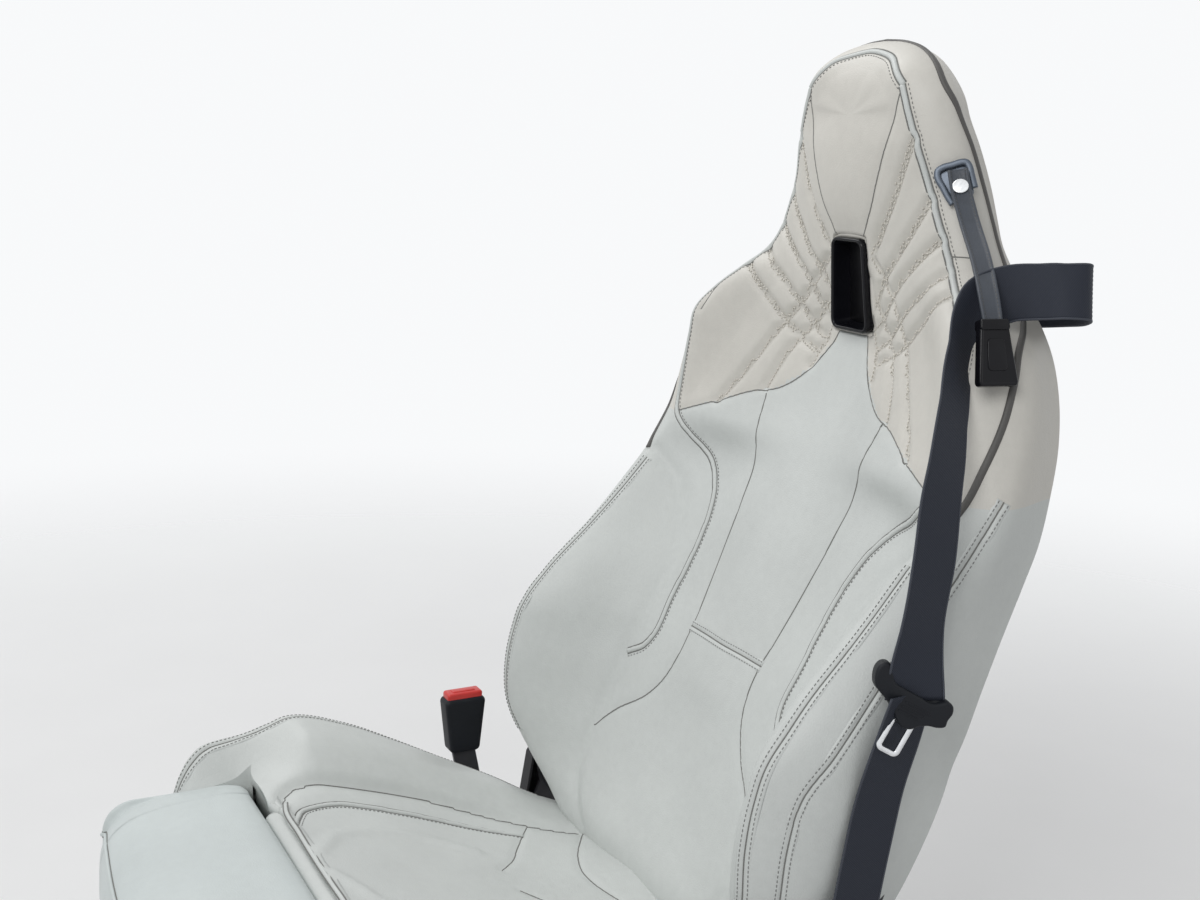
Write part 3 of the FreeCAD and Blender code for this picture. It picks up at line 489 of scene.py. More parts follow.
class Batch:
    """Strips, tubes or stitches collected into one mesh."""

    def __init__(self):
        self.points = []
        self.faces = []
        self.count = 0

    def add(self, points, faces):
        self.points.append(np.asarray(points, float))
        for face in faces:
            self.faces.append([n + self.count for n in face])
        self.count += len(points)

    def sweep(self, path, lean, profile, closed=False):
        """A profile of (across, up) pairs pushed along a path, or round a closed one."""
        if closed:
            ahead = unit(np.roll(path, -1, axis=0) - np.roll(path, 1, axis=0))
        else:
            ahead = unit(np.gradient(path, axis=0))
        up = unit(lean - ahead * np.sum(lean * ahead, axis=1, keepdims=True))
        side = np.cross(ahead, up)
        rings = np.stack([path + side * across + up * rise for across, rise in profile], axis=1)
        self.add(rings.reshape(-1, 3), tube_faces(*rings.shape[:2], closed))

    def stitch(self, path, lean, thread, offset, lift):
        """Short threads of a given pitch, span and thickness along a path, set off sideways."""
        pitch, span, thick = thread
        run = lengths(path)
        count = int(run[-1] / pitch)
        if count < 1:
            return
        where = (np.arange(count) + 0.5) * run[-1] / count
        forward = unit(sampled(run, unit(np.gradient(path, axis=0)), where))
        upward = unit(sampled(run, lean, where))
        spots = sampled(run, shifted(path, lean, offset, lift), where)
        axes = np.stack([forward * span, np.cross(forward, upward) * thick, upward * thick], axis=1)
        shape, faces = thread_shape()
        for points in spots[:, None] + shape @ axes:
            self.add(points, faces)

    def make(self, name, body, material, slot, node=None):
        return new_object(name, np.vstack(self.points), self.faces, body, material, node)


def add_node(tree, kind, values, links, **settings):
    """A shader node with its values, settings and incoming links."""
    made = tree.nodes.new("ShaderNode" + kind)
    for name, value in settings.items():
        setattr(made, name, value)
    for key, value in values.items():
        made.inputs[key].default_value = value
    for key, socket in links.items():
        tree.links.new(socket, made.inputs[key])
    return made


class Look:
    """A procedural material whose coordinates are the part's own, in metres."""

    def __init__(self, name, rough, metal=0.0, gloss=0.5):
        self.made = bpy.data.materials.new(name)
        self.made.use_nodes = True
        self.tree = self.made.node_tree
        self.shader = self.tree.nodes["Principled BSDF"]
        for key, value in (("Roughness", rough), ("Metallic", metal), ("Specular IOR Level", gloss)):
            self.shader.inputs[key].default_value = value
        self.where = self.node("TexCoord", {}, {}).outputs["Object"]
        self.relief = None

    def node(self, kind, values, links, **settings):
        return add_node(self.tree, kind, values, links, **settings)

    def stretched(self, scale, turn=(0, 0, 0)):
        made = self.node("Mapping", {"Scale": scale, "Rotation": turn}, {"Vector": self.where})
        return made.outputs["Vector"]

    def noise(self, scale, detail=3.0, where=None):
        made = self.node("TexNoise", {"Scale": scale, "Detail": detail},
                         {"Vector": where or self.where})
        return made.outputs["Fac"]

    def cells(self, scale):
        """Rounded cells parted by narrow furrows, as in leather grain."""
        made = self.node("TexVoronoi", {"Scale": scale}, {"Vector": self.where},
                         feature="SMOOTH_F1")
        return made.outputs["Distance"]

    def bands(self, scale, bend=0.0):
        """Slanting bands."""
        made = self.node("TexWave", {"Scale": scale, "Distortion": bend}, {"Vector": self.where},
                         bands_direction="DIAGONAL")
        return made.outputs["Fac"]

    def blend(self, first, second, share):
        """The sum of two values, weighted by a share and its rest."""
        low = self.node("Math", {1: 1 - share}, {0: first}, operation="MULTIPLY").outputs[0]
        return self.node("Math", {1: share}, {0: second, 2: low},
                         operation="MULTIPLY_ADD").outputs[0]

    def colour(self, value, low, high, start=0.3, end=0.7):
        """The base colour runs from one colour to another as a value runs from start to end."""
        made = self.node("ValToRGB", {}, {"Fac": value})
        for stop, place, shade in zip(made.color_ramp.elements, (start, end), (low, high)):
            stop.position = place
            stop.color = (*shade, 1)
        self.tree.links.new(made.outputs["Color"], self.shader.inputs["Base Color"])

    def rough(self, value, low, high):
        made = self.node("MapRange", {"From Min": 0.3, "From Max": 0.7, "To Min": low,
                                      "To Max": high}, {"Value": value})
        self.tree.links.new(made.outputs[0], self.shader.inputs["Roughness"])

    def bump(self, value, height, strength=1.0):
        """One more layer of relief, its height in metres."""
        links = {"Height": value}
        if self.relief:
            links["Normal"] = self.relief
        made = self.node("Bump", {"Distance": height, "Strength": strength}, links)
        self.relief = made.outputs["Normal"]
        self.tree.links.new(self.relief, self.shader.inputs["Normal"])


def shade(colour, factor):
    return tuple(value * factor for value in colour)


def leather_look(name, colour, dark=0.93, light=1.05, rough=0.44):
    """Fine-grained leather: furrowed grain, small wrinkles, broad soft unevenness."""
    look = Look(name, rough, gloss=0.42)
    broad = look.noise(9, 2)
    fine = look.noise(120, 4)
    mixed = look.blend(broad, fine, 0.35)
    look.colour(mixed, shade(colour, dark), shade(colour, light))
    look.rough(fine, rough - 0.04, rough + 0.08)
    look.bump(broad, 0.0035, 0.55)
    look.bump(look.noise(70, 3, look.stretched((1, 1, 0.55), (0.3, 0.5, 0.2))), 0.0007, 0.5)
    look.bump(look.cells(820), 0.00022, 0.6)
    return look.made


def plastic_look(name, colour, rough, grain=0.00012, gloss=0.5, wear=0.15):
    """Moulded plastic with a fine even grain and faint handling marks."""
    look = Look(name, rough, gloss=gloss)
    worn = look.noise(24, 4)
    look.colour(worn, shade(colour, 1 - wear), shade(colour, 1 + wear))
    look.rough(worn, rough - 0.04, rough + 0.06)
    look.bump(look.cells(1500), grain, 0.5)
    return look.made


def gloss_look(name, colour):
    """Polished plastic: clear gloss, slight waviness, faint smudges."""
    look = Look(name, 0.08, gloss=0.2)
    smudge = look.noise(30, 5)
    look.colour(smudge, shade(colour, 0.8), shade(colour, 1.5))
    look.rough(smudge, 0.05, 0.16)
    look.bump(look.noise(45, 1), 0.0001, 0.4)
    return look.made


def metal_look(name, colour, rough, grain=0.00005, metal=1.0):
    """Metal with drawn lines along the part and patches that catch the light unevenly."""
    look = Look(name, rough, metal)
    lines = look.noise(500, 3, look.stretched((1, 0.04, 0.3)))
    patches = look.noise(20, 3)
    mixed = look.blend(patches, lines, 0.5)
    look.colour(mixed, shade(colour, 0.8), shade(colour, 1.15))
    look.rough(mixed, rough - 0.06, rough + 0.08)
    look.bump(lines, grain, 0.5)
    return look.made


def webbing_look(name, colour):
    """Woven belt: slanted picks across the ribs, and a little fuzz."""
    look = Look(name, 0.62, gloss=0.2)
    picks = look.bands(330)
    fuzz = look.noise(900, 3)
    mixed = look.blend(picks, fuzz, 0.45)
    look.colour(mixed, shade(colour, 0.78), shade(colour, 1.3), 0.2, 0.8)
    look.rough(fuzz, 0.55, 0.72)
    look.bump(picks, 0.00018, 0.5)
    look.bump(fuzz, 0.0001, 0.5)
    return look.made


def thread_look(name, colour):
    """Twisted sewing thread; the same look also serves the dark strips of painted shade in the
    seams.
    """
    look = Look(name, 0.6, gloss=0.3)
    twist = look.bands(420, 1.0)
    look.colour(twist, shade(colour, 0.7), shade(colour, 1.25), 0.2, 0.8)
    look.bump(twist, 0.0002, 0.6)
    return look.made


LEATHER = leather_look("leather", (0.605, 0.628, 0.612))
WARM_LEATHER = leather_look("warm_leather", (0.64, 0.622, 0.575))
PAD_LEATHER = leather_look("pad_leather", (0.59, 0.638, 0.632))
SHELL_PAINT = plastic_look("shell_cover", (0.60, 0.60, 0.565), 0.45, wear=0.04)
GLOSS_BLACK = gloss_look("gloss_black", (0.006, 0.006, 0.008))
PANE_BLACK = plastic_look("pane_black", (0.004, 0.004, 0.005), 0.4, 0.00005, 0.25)
STRAP_LEATHER = leather_look("strap_leather", (0.050, 0.058, 0.072), 0.8, 1.25, 0.42)
BELT_PLASTIC = plastic_look("belt_plastic", (0.009, 0.0105, 0.014), 0.5, gloss=0.22)
COVER_PLASTIC = plastic_look("cover_plastic", (0.022, 0.022, 0.025), 0.55, 0.0002, 0.3)
WEB = webbing_look("webbing", (0.026, 0.030, 0.042))
WEB_EDGE = webbing_look("webbing_edge", (0.060, 0.066, 0.082))
STEEL = metal_look("painted_steel", (0.035, 0.035, 0.04), 0.42, metal=0.2)
MOTOR = metal_look("motor_case", (0.20, 0.20, 0.215), 0.4, metal=0.8)
LATCH_METAL = metal_look("latch_metal", (0.72, 0.73, 0.75), 0.16)
SNAP_METAL = metal_look("snap_metal", (0.80, 0.81, 0.82), 0.22)
RED = plastic_look("button_red", (0.62, 0.035, 0.03), 0.34)
# Dark strips laid along seams and beside piping and the front roll: painted shade of the grooves
# there.
SEAM_SHADE = thread_look("seam_shadow", (0.20, 0.20, 0.19))
DARK_THREAD = thread_look("dark_thread", (0.24, 0.24, 0.235))
PALE_THREAD = thread_look("pale_thread", (0.74, 0.71, 0.65))
DARK_PIPING = leather_look("piping", (0.085, 0.082, 0.078), 0.85, 1.2, 0.5)
BRACKET_PAINT = metal_look("bracket_paint", (0.10, 0.12, 0.15), 0.34, metal=0.5)

# The finish of each node that stays as the frame has it, by the start of its name.
NODE_LOOKS = (
    ("track_motor", MOTOR), ("lift_motor", MOTOR), ("drive_shaft", MOTOR),
    ("side_cover", COVER_PLASTIC), ("", STEEL),
)
for name, node in nodes.items():
    look = next(material for start, material in NODE_LOOKS if name.startswith(start))
    node.data.materials.clear()
    node.data.materials.append(look)

# Seams of the backrest's right half, seen from the front, as across and height.
YOKE_EDGE = ((0, 762), (18, 759), (27, 742), (45, 716), (82, 690), (102, 686), (153, 667),
             (206, 648))
INSERT_EDGE = ((60, 463), (67, 508), (75, 570), (82, 628), (92, 689))
LOW_EDGE = ((60, 461), (61, 437), (68, 412), (85, 388), (120, 361), (141, 338))
HEAD_EDGE = ((69, 984), (62, 957), (52, 920), (44, 895), (35, 872), (28, 860), (21, 847))
BAND_EDGE = ((68, 981), (85, 937), (101, 892), (129, 838), (152, 814), (180, 791), (204, 768),
             (211, 735), (211, 690), (208, 650), (182, 626), (150, 605), (130, 583), (117, 550),
             (113, 515), (113, 475), (112, 440), (120, 425), (138, 415))
BAND_TOP = ((0, 394, 1013), (23, 391, 1010), (44, 384, 1004), (60, 378, 990), (68, 380, 981))
QUILTING = (
    ((84, 935), (76, 915), (65, 887), (52, 862), (42, 846), (31, 831)),
    ((102, 883), (93, 866), (78, 846), (63, 826), (47, 809), (34, 783)),
    ((118, 850), (98, 832), (82, 817), (60, 794), (45, 773), (31, 761)),
    ((135, 824), (114, 807), (97, 794), (76, 775), (57, 757), (38, 745)),
    ((154, 808), (121, 780), (93, 757), (70, 744), (46, 733)),
    ((152, 668), (127, 704), (93, 756), (76, 775), (51, 807), (31, 829)),
    ((96, 690), (85, 719), (70, 744), (57, 758), (45, 773), (34, 790)),
    ((48, 719), (44, 733), (38, 745), (32, 760)),
)
ROOT_CREASE = ((213, 607), (172, 575), (148, 530), (139, 480), (139, 412), (141, 351), (140, 290),
               (112, 246))
CREST_SEAM = ((222, 297, 598), (223, 262, 560), (226, 210, 511), (229, 180, 476),
              (230, 163, 455), (232, 150, 425), (232, 145, 387), (230, 146, 343), (220, 150, 312))
SIDE_SEAM = ((256, 359, 654), (254, 330, 610), (254, 249, 514), (256, 208, 463), (252, 182, 429),
             (251, 172, 390), (248, 170, 346), (232, 178, 300))
PIPING = ((0, 412, 1022), (30, 413, 1019), (56, 410, 1011), (76, 406, 998), (93, 404, 982),
          (103, 415, 957), (109, 424, 932), (119, 434, 894), (129, 438, 867), (137, 440, 848),
          (155, 434, 827), (180, 427, 805), (208, 405, 780), (228, 386, 763), (236, 377, 745),
          (241, 365, 714), (240, 348, 676), (237, 336, 650), (231, 320, 628), (223, 303, 606))
BAND_ACROSS = ((129, 838), (146, 838), (163, 840))
ACROSS_SEAM = ((0, 463), (30, 463), (62, 462))

# How deep and wide each kind of seam draws the leather in, in millimetres.
GROOVES = {"quilt": (5.4, 4.6), "fold": (3.2, 8.0), "crisp": (1.3, 4.0), "double": (0.9, 3.2),
           "crease": (5.0, 8.0)}
# How much further in the inboard crest seam runs than the outboard one.
CREST_LEAN = 7
# Widths of a groove at which its fall ends.
GROOVE_REACH = 2.4

# Backrest
STATION_OF_HEAD = len(BACK_ROWS) - 1
stations = back_stations()
knots = lengths(stations[:, 3])
rows = resample(stations, 3, ROW_STEP)
above = np.linspace(0, knots[-1], len(rows)) > knots[STATION_OF_HEAD]
rows[above, 0] = FOCUS
rows[above, 6] = REAR_FOCUS
fan_start = int(np.argmax(above))
front_half = np.array([section(row[:5], FRONT_COUNTS) for row in rows])
rear_half = np.array([section(row[4:7], REAR_COUNTS, mirrored=False) for row in rows])
front = mirror_rows(front_half)
middle_column = front_half.shape[1] - 1
ids = numbered(front)
ids[fan_start:, middle_column] = ids[fan_start, middle_column]
ids[-1, :middle_column] = ids[-1, :middle_column:-1]
back = Wrap(front.reshape(-1, 3).copy(), grid_faces(ids))


def both(knots):
    """A seam and its twin on the left."""
    return [list(knots), flip(knots)]


def across_middle(half):
    """A whole seam, left to right, from its right half."""
    return flip(half)[:0:-1] + list(half)


traced = {}


def run(name, wrap, knots_list, view="front"):
    traced[name] = [trace(wrap, knots, view=view) for knots in knots_list]


run("quilt", back, [side for knots in QUILTING for side in both(knots)])
run("yoke", back, [across_middle(YOKE_EDGE)])
run("band_top", back, [across_middle(BAND_TOP)[::-1]])
run("across", back, [across_middle(ACROSS_SEAM)])
run("crest", back, [CREST_SEAM, [(CREST_LEAN - x, y, z) for x, y, z in CREST_SEAM]])
for name, knots in (("insert", INSERT_EDGE), ("low", LOW_EDGE), ("head", HEAD_EDGE),
                    ("band", BAND_EDGE), ("fold", ROOT_CREASE), ("side", SIDE_SEAM),
                    ("piping", PIPING), ("band_across", BAND_ACROSS)):
    run(name, back, both(knots))


def draw_in(wrap, groups):
    """How far a surface sinks beside its seams: the deepest of all that reach a point."""
    sink = np.zeros(len(wrap.points))
    for kind, names in groups:
        depth, width = GROOVES[kind]
        reach = width * GROOVE_REACH
        near = nearness(wrap, [path for name in names for path, _ in traced[name]], reach)
        sink = np.maximum(sink, np.where(near < reach, depth * np.exp(-(near / width) ** 2), 0))
    return sink


sink = draw_in(back, (
    ("quilt", ["quilt"]), ("fold", ["fold"]),
    ("crisp", ["yoke", "insert", "low", "head", "band", "band_top", "band_across"]),
    ("double", ["crest", "side", "across"])))

# The opening: the cover turns in round the bezel, and its grooves fade out before it.
BEZEL_LOW = 757
BEZEL_HIGH = 845
BEZEL_HALF = 28
BEZEL_HEAD_HALF = 22.5
GROOVE_STOP = 3
GROOVE_FADE = 10
PIT_MARGIN = 1.2
PIT_SLOPE = 12
PIT_DEPTH = 34
PIT_REAR = 430


def opening_depth(points):
    """How far inside the opening's outline points lie; below zero is outside."""
    across, _, height = points.T
    half = np.interp(height, (BEZEL_LOW, BEZEL_HIGH), (BEZEL_HALF, BEZEL_HEAD_HALF))
    return np.minimum(np.minimum(height - BEZEL_LOW, BEZEL_HIGH - height), half - np.abs(across))


back.push(-sink * np.clip((-opening_depth(back.points) - GROOVE_STOP) / GROOVE_FADE, 0, 1))
inside = opening_depth(back.points) + PIT_MARGIN
pit = (inside > 0) & (back.points[:, 1] < PIT_REAR)
back.points[pit, 1] += np.minimum(inside[pit] * PIT_SLOPE, PIT_DEPTH)
back.renew()

COVER_DEPTH = 8
SHELL_DEPTH = 4
HEAD_FOOT = 846
HEAD_TOP = 1008
# Knots of the band's edge that bound the shoulders.
BAND_KNOTS = 8


def level(table, where, key=0, value=1):
    """A value read off a table of points between which it runs straight."""
    table = np.array(table, float)
    order = np.argsort(table[:, key])
    return np.interp(where, table[order, key], table[order, value])


def cover(name, wrap, chosen, body, material, *nodes):
    """A padded leather piece made of some of a surface's faces."""
    made = shell_piece(name, wrap.points, wrap.normals, wrap.faces[chosen], COVER_DEPTH, body,
                       material)
    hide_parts(*nodes)


centres = back.points[back.faces].mean(axis=1)
across = np.abs(centres[:, 0])
height = centres[:, 2]
in_yoke = height > level(YOKE_EDGE, across)
insert_width = np.where(height > INSERT_EDGE[0][1], level(INSERT_EDGE, height, 1, 0),
                        level(LOW_EDGE, height, 1, 0))
in_insert = ~in_yoke & (across < insert_width)
in_bolster = ~in_yoke & ~in_insert
in_head = in_yoke & (height > HEAD_FOOT) & (across < level(HEAD_EDGE, height, 1, 0))
past_band = (across > level(BAND_EDGE[:BAND_KNOTS], height, 1, 0)) | (height > HEAD_TOP)
in_band = in_yoke & ~in_head & past_band
cover("back_insert_cover", back, in_insert, "back", LEATHER, "back_centre")
for side, chosen in (("inboard", centres[:, 0] < 0), ("outboard", centres[:, 0] > 0)):
    cover("back_bolster_cover_" + side, back, in_bolster & chosen, "back", LEATHER,
          "back_bolster_" + side)
cover("shoulder_cover", back, in_yoke & ~in_head & ~in_band, "back", WARM_LEATHER, "shoulder_pad")
cover("head_band_cover", back, in_band, "back", WARM_LEATHER)
cover("headrest_cover", back, in_head, "back", WARM_LEATHER, "headrest_pad")

rear = np.concatenate([rear_half, (rear_half[:, -2::-1] * (-1, 1, 1))], axis=1)
rear_ids = numbered(rear)
rear_middle = rear_half.shape[1] - 1
rear_ids[fan_start:, rear_middle] = rear_ids[fan_start, rear_middle]
rear_ids[-1, rear_middle + 1:] = rear_ids[-1, rear_middle - 1::-1]
shell = Wrap(rear.reshape(-1, 3).copy(), grid_faces(rear_ids))
made = shell_piece("back_shell_cover", shell.points, shell.normals, shell.faces, SHELL_DEPTH, "back",
                   SHELL_PAINT)
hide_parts("back_shell")


def mirrored(half):
    """A symmetric profile from its left half."""
    return half + tuple((-across, up) for across, up in half[::-1])


# Seam strips, as profiles of (across, up)
WELT = mirrored(((-2.9, -2.6), (-2.7, 0.2), (-1.9, 1.5), (-0.7, 2.1)))
LINE = mirrored(((-0.6, -1.2), (-0.6, 0.2), (-0.3, 0.4)))
TUBE = mirrored(((-3.1, -2.6), (-3.1, 0.4), (-2.2, 1.5), (-0.8, 2.0)))
DOUBLE = mirrored(((-7.0, -1.2), (-6.2, 0.0), (-4.4, 0.7), (-1.6, 0.55), (-0.6, -0.3)))
WELT_LINES = (-3.3, 3.3)
DOUBLE_LINES = (-4.2, 4.2)
# Stitches: pitch, span, thickness.
WELT_THREAD = (4.2, 2.6, 0.45)
DOUBLE_THREAD = (4.0, 2.8, 0.45)
QUILT_THREAD = (4.0, 2.8, 0.75)


def beside(wrap, path, lean, across):
    """A line beside a seam, laid on the surface again, and the normals under it."""
    path, lean = settle(wrap, shifted(path, lean, across))
    return soften(path, 2), lean


def relay(wrap, names):
    """Traced seams laid on the surface again after it has sunk."""
    return [settle(wrap, path) for name in names for path, _ in traced[name]]


def sew(wrap, body, prefix, welted, plain, doubled, thread_side):
    """Welts, dark lines of painted groove shade, double seams and dark stitches along traced seams.
    """
    welts, lines, stitches, doubles = Batch(), Batch(), Batch(), Batch()
    for path, lean in relay(wrap, welted):
        welts.sweep(path, lean, WELT)
        for offset in WELT_LINES:
            lines.sweep(*beside(wrap, path, lean, offset), LINE)
        stitches.stitch(*beside(wrap, path, lean, thread_side), WELT_THREAD, 0, 0.3)
    for path, lean in relay(wrap, plain):
        lines.sweep(path, lean, LINE)
    for path, lean in relay(wrap, doubled):
        doubles.sweep(path, lean, DOUBLE)
        lines.sweep(path, lean, LINE)
        for offset in DOUBLE_LINES:
            stitches.stitch(path, lean, DOUBLE_THREAD, offset, 0.9)
    welts.make(prefix + "_welts", body, LEATHER, "leather")
    doubles.make(prefix + "_double_seams", body, LEATHER, "leather")
    lines.make(prefix + "_seam_shade_lines", body, SEAM_SHADE, "leather")
    stitches.make(prefix + "_stitches", body, DARK_THREAD, "leather")


sew(back, "back", "back", ["band", "band_top"], ["yoke", "insert", "low", "head", "band_across"],
    ["crest", "side", "across"], -6.0)
pale_stitches = Batch()
piping = Batch()
for path, lean in relay(back, ["quilt"]):
    pale_stitches.stitch(path, lean, QUILT_THREAD, 0, 0.7)
for path, lean in relay(back, ["piping"]):
    piping.sweep(path, lean, TUBE)
pale_stitches.make("back_quilt_stitches", "back", PALE_THREAD, "leather")
piping.make("back_piping", "back", DARK_PIPING, "leather")

# Cushion
CREASE = ((121, -126), (134, -121), (146, -111), (151, -92), (152, -63), (152, -34), (151, 19),
          (142, 79), (130, 127), (115, 176))
INNER_SEAM = ((78, -126.5), (94, -120), (109, -111), (118, -98), (127, -75), (128, -42), (124, 8),
              (114, 60), (104, 109))
HOOK_SEAM = ((128, 126), (104, 109), (75, 90), (45, 72), (20, 50))
SOFT_RIDGE = ((20, -122), (42, -108), (62, -96), (73, -78), (81, -55), (82, -30), (76, 5), (58, 40))
REAR_SEAM = ((0, 128), (50, 143), (85, 163), (118, 184))
PROFILE_COUNTS = (40, 40, 12, 22)
CORNER_SHARE = 0.663
CREST_INSET = 7
FLAP_END = 118
FLAP_FADE = 14
NOSE_EDGE = 203
NOSE_PAST = 18
NOSE_FADE = 28
FRONT_EDGE = -128
FRONT_BACK = -78
FRONT_REACH = 9
DIP_MIDDLE = 194
DIP_DEPTH = 27
DIP_INWARD = 34
DIP_OUTWARD = 25
ROLL_DOWN = 5
SOFT_CORNER = (212, 136, 0)
SOFT_REACH = 48
SOFT_ABOVE = 300
SOFT_FALL = 1.6
SOFT_ROUNDS = 60
RIDGE_RISE = 2.5
RIDGE_WIDTH = 7
RIDGE_REACH = 20
# The noses' inner sides, down to the pan, as (across, up) from the inner edge.
NOSE_SIDE = ((-2, -60), (-3, -30), (-2.4, -8), (-1.2, -2.5), (0, 0))


def smooth_share(share):
    """A share from 0 to 1 that eases in and out."""
    share = np.clip(share, 0, 1)
    return share ** 2 * (3 - 2 * share)


cushion_rows = []
for depth, middle, root, crest_w, crest_z, side_w, side_z in CUSHION_ROWS:
    keys = [(0, depth, middle), (CUSHION_ROOT, depth, root), (crest_w, depth, crest_z),
            (side_w, depth, side_z), (side_w - CUSHION_TUCK, depth, CUSHION_FOOT)]
    profile = section(np.array(keys, float), PROFILE_COUNTS)[:sum(PROFILE_COUNTS[:2]) + 1]
    corner = CUSHION_ROOT + CORNER_SHARE * (crest_w - CUSHION_ROOT)
    keys.insert(2, (corner, depth, np.interp(corner, profile[:, 0], profile[:, 2])))
    cushion_rows.append(keys)
cushion_stations = np.array(cushion_rows, float)
seat_rows = resample(cushion_stations, 3, ROW_STEP)
seat_half = np.array([section(row, CUSHION_COUNTS) for row in seat_rows])
# Beside the flap the front edge comes forward to the thigh pad and rolls down to its height
wide = seat_half[:, :, 0]
beside_flap = smooth_share((wide - FLAP_END) / FLAP_FADE)
ahead_share = np.clip((FRONT_BACK - seat_half[:, :, 1]) / (FRONT_BACK - FRONT_EDGE), 0, 1)
to_nose = smooth_share((NOSE_EDGE + NOSE_PAST - wide) / NOSE_FADE)
away = (wide - DIP_MIDDLE) / np.where(wide < DIP_MIDDLE, DIP_INWARD, DIP_OUTWARD)
seat_half[:, :, 1] -= FRONT_REACH * beside_flap * ahead_share ** 1.5 * to_nose
seat_half[:, :, 2] -= DIP_DEPTH * np.exp(-away ** 2) * smooth_share(ahead_share)
seat_half[:, :, 2] -= ROLL_DOWN * beside_flap * to_nose * ahead_share ** 6
seat_grid = mirror_rows(seat_half)
seat_ids = numbered(seat_grid)
nose_rows = []
for depth, inner, root, crest_w, crest_z, side_w, side_z in CUSHION_NOSE:
    nose_rows.append([(inner, depth, root), (crest_w, depth, crest_z), (side_w, depth, side_z),
                      (side_w - CUSHION_TUCK, depth, CUSHION_FOOT)])
nose_rows.append([tuple(seat_half[0, column]) for column in np.cumsum(CUSHION_COUNTS)[1:]])
nose_stations = np.array(nose_rows, float)
nose_whole = resample(nose_stations, 1, ROW_STEP)
nose_half = np.array([section(row, CUSHION_COUNTS[2:], mirrored=False) for row in nose_whole[:-1]])
side_half = np.array([[row[0] + (x, 0, z) for x, z in NOSE_SIDE] for row in nose_whole])
# Each hand of the noses, which join the front row, and of their inner sides
width = nose_half.shape[1]
front_seams = (seat_ids[0, -width:], seat_ids[0, width - 1::-1])
seat_points = seat_grid.reshape(-1, 3)
seat_faces = [grid_faces(seat_ids)]
for half, seams in ((nose_half, front_seams), (side_half, ((), ()))):
    for hand, seam in zip((1, -1), seams):
        ids = numbered(half, len(seat_points))
        if len(seam):
            ids = np.vstack([ids, seam])
        seat_points = np.vstack([seat_points, half.reshape(-1, 3) * (hand, 1, 1)])
        seat_faces.append(grid_faces(ids)[:, ::hand])
seat = Wrap(seat_points, np.vstack(seat_faces))
from_corner = np.linalg.norm((np.abs(seat.points) - SOFT_CORNER) * (1, 1, 0), axis=1)
from_corner = np.where(seat.points[:, 2] > SOFT_ABOVE, from_corner, SOFT_REACH)
seat.relax(smooth_share(SOFT_FALL - SOFT_FALL * from_corner / SOFT_REACH), SOFT_ROUNDS)

run("crease", seat, both(CREASE), "top")
run("inner", seat, both(INNER_SEAM), "top")
run("hook", seat, both(HOOK_SEAM), "top")
run("ridge", seat, both(SOFT_RIDGE), "top")
run("rear_seam", seat, [across_middle(REAR_SEAM)[::-1]], "top")
seat_crest = np.vstack([nose_stations[:-1, 1], cushion_stations[:-1, 3]]) - (CREST_INSET, 0, 0)
run("seat_crest", seat, both(seat_crest.tolist()))
sink = draw_in(seat, (("crease", ["crease"]), ("crisp", ["inner", "hook", "rear_seam"]),
                      ("double", ["seat_crest"])))
ridge = nearness(seat, [path for path, _ in traced["ridge"]], RIDGE_REACH)
seat.push(RIDGE_RISE * np.exp(-(ridge / RIDGE_WIDTH) ** 2) * (ridge < RIDGE_REACH) - sink)
centres = seat.points[seat.faces].mean(axis=1)
across, back_way, _ = centres.T
in_middle = (np.abs(across) < level(CREASE, back_way, 1, 0)) & (back_way > FRONT_EDGE)
cover("cushion_cover_centre", seat, in_middle, "pan", LEATHER, "cushion_centre")
for side, chosen in (("inboard", across < 0), ("outboard", across > 0)):
    cover("cushion_cover_" + side, seat, ~in_middle & chosen, "pan", LEATHER,
          "cushion_bolster_" + side)
sew(seat, "pan", "cushion", ["inner"], ["hook", "rear_seam", "crease"], ["seat_crest"], 6.0)


class Plane:
    """A flat place to build on: across and along lie in it, out points away from the seat."""

    def __init__(self, middle, across, along):
        self.middle = np.array(middle, float)
        self.across = unit(across)
        self.along = unit(along - self.across * np.dot(along, self.across))
        self.out = np.cross(self.across, self.along)

    def at(self, spots, rise=0.0):
        """Points in space from places on the plane."""
        spots = np.array(spots, float)
        return self.middle + spots @ np.stack([self.across, self.along]) + self.out * rise


def rounded(low_half, high_half, low, high, corner, inset=0.0, arc=6):
    """An upright outline with round corners, a little wider at one end, as (across, along).

    An inset draws every side in by the same distance.
    """
    corners = ((high_half, high, 1, 1), (-high_half, high, -1, 1),
               (-low_half, low, -1, -1), (low_half, low, 1, -1))
    radius = max(corner - inset, 0.4)
    points = []
    for index, (x, z, way_x, way_z) in enumerate(corners):
        x -= way_x * (inset + radius)
        z -= way_z * (inset + radius)
        for step in range(arc + 1):
            angle = math.pi / 2 * (index + step / arc)
            points.append((x + radius * math.cos(angle), z + radius * math.sin(angle)))
    return points


def curved(corners, count):
    """A smooth closed outline through its corners."""
    knots = np.array([*corners[-2:], *corners, *corners[:3]], float)
    run = lengths(knots)
    where = np.linspace(run[2], run[len(corners) + 2], count, endpoint=False)
    return smooth(run, knots, where)


def inward(outline, inset):
    """A closed outline drawn in by a small distance."""
    before = np.roll(outline, 1, axis=0)
    after = np.roll(outline, -1, axis=0)
    turn = np.sum(outline[:, 0] * after[:, 1] - outline[:, 1] * after[:, 0])
    ahead = unit(after - before)
    side = np.stack([-ahead[:, 1], ahead[:, 0]], axis=1) * (1 if turn > 0 else -1)
    return outline + side * inset


def panel(low_half, high_half, low, high, corner, across=0.0, along=0.0):
    """A rounded outline set off from its plane's middle, for any inset."""
    def outline(inset):
        spots = rounded(low_half, high_half, low, high, corner, inset)
        return [(x + across, z + along) for x, z in spots]
    return outline


def freehand(corners, count):
    """A smooth closed outline, for small insets."""
    outline = curved(corners, count)
    return lambda inset: inward(outline, inset)


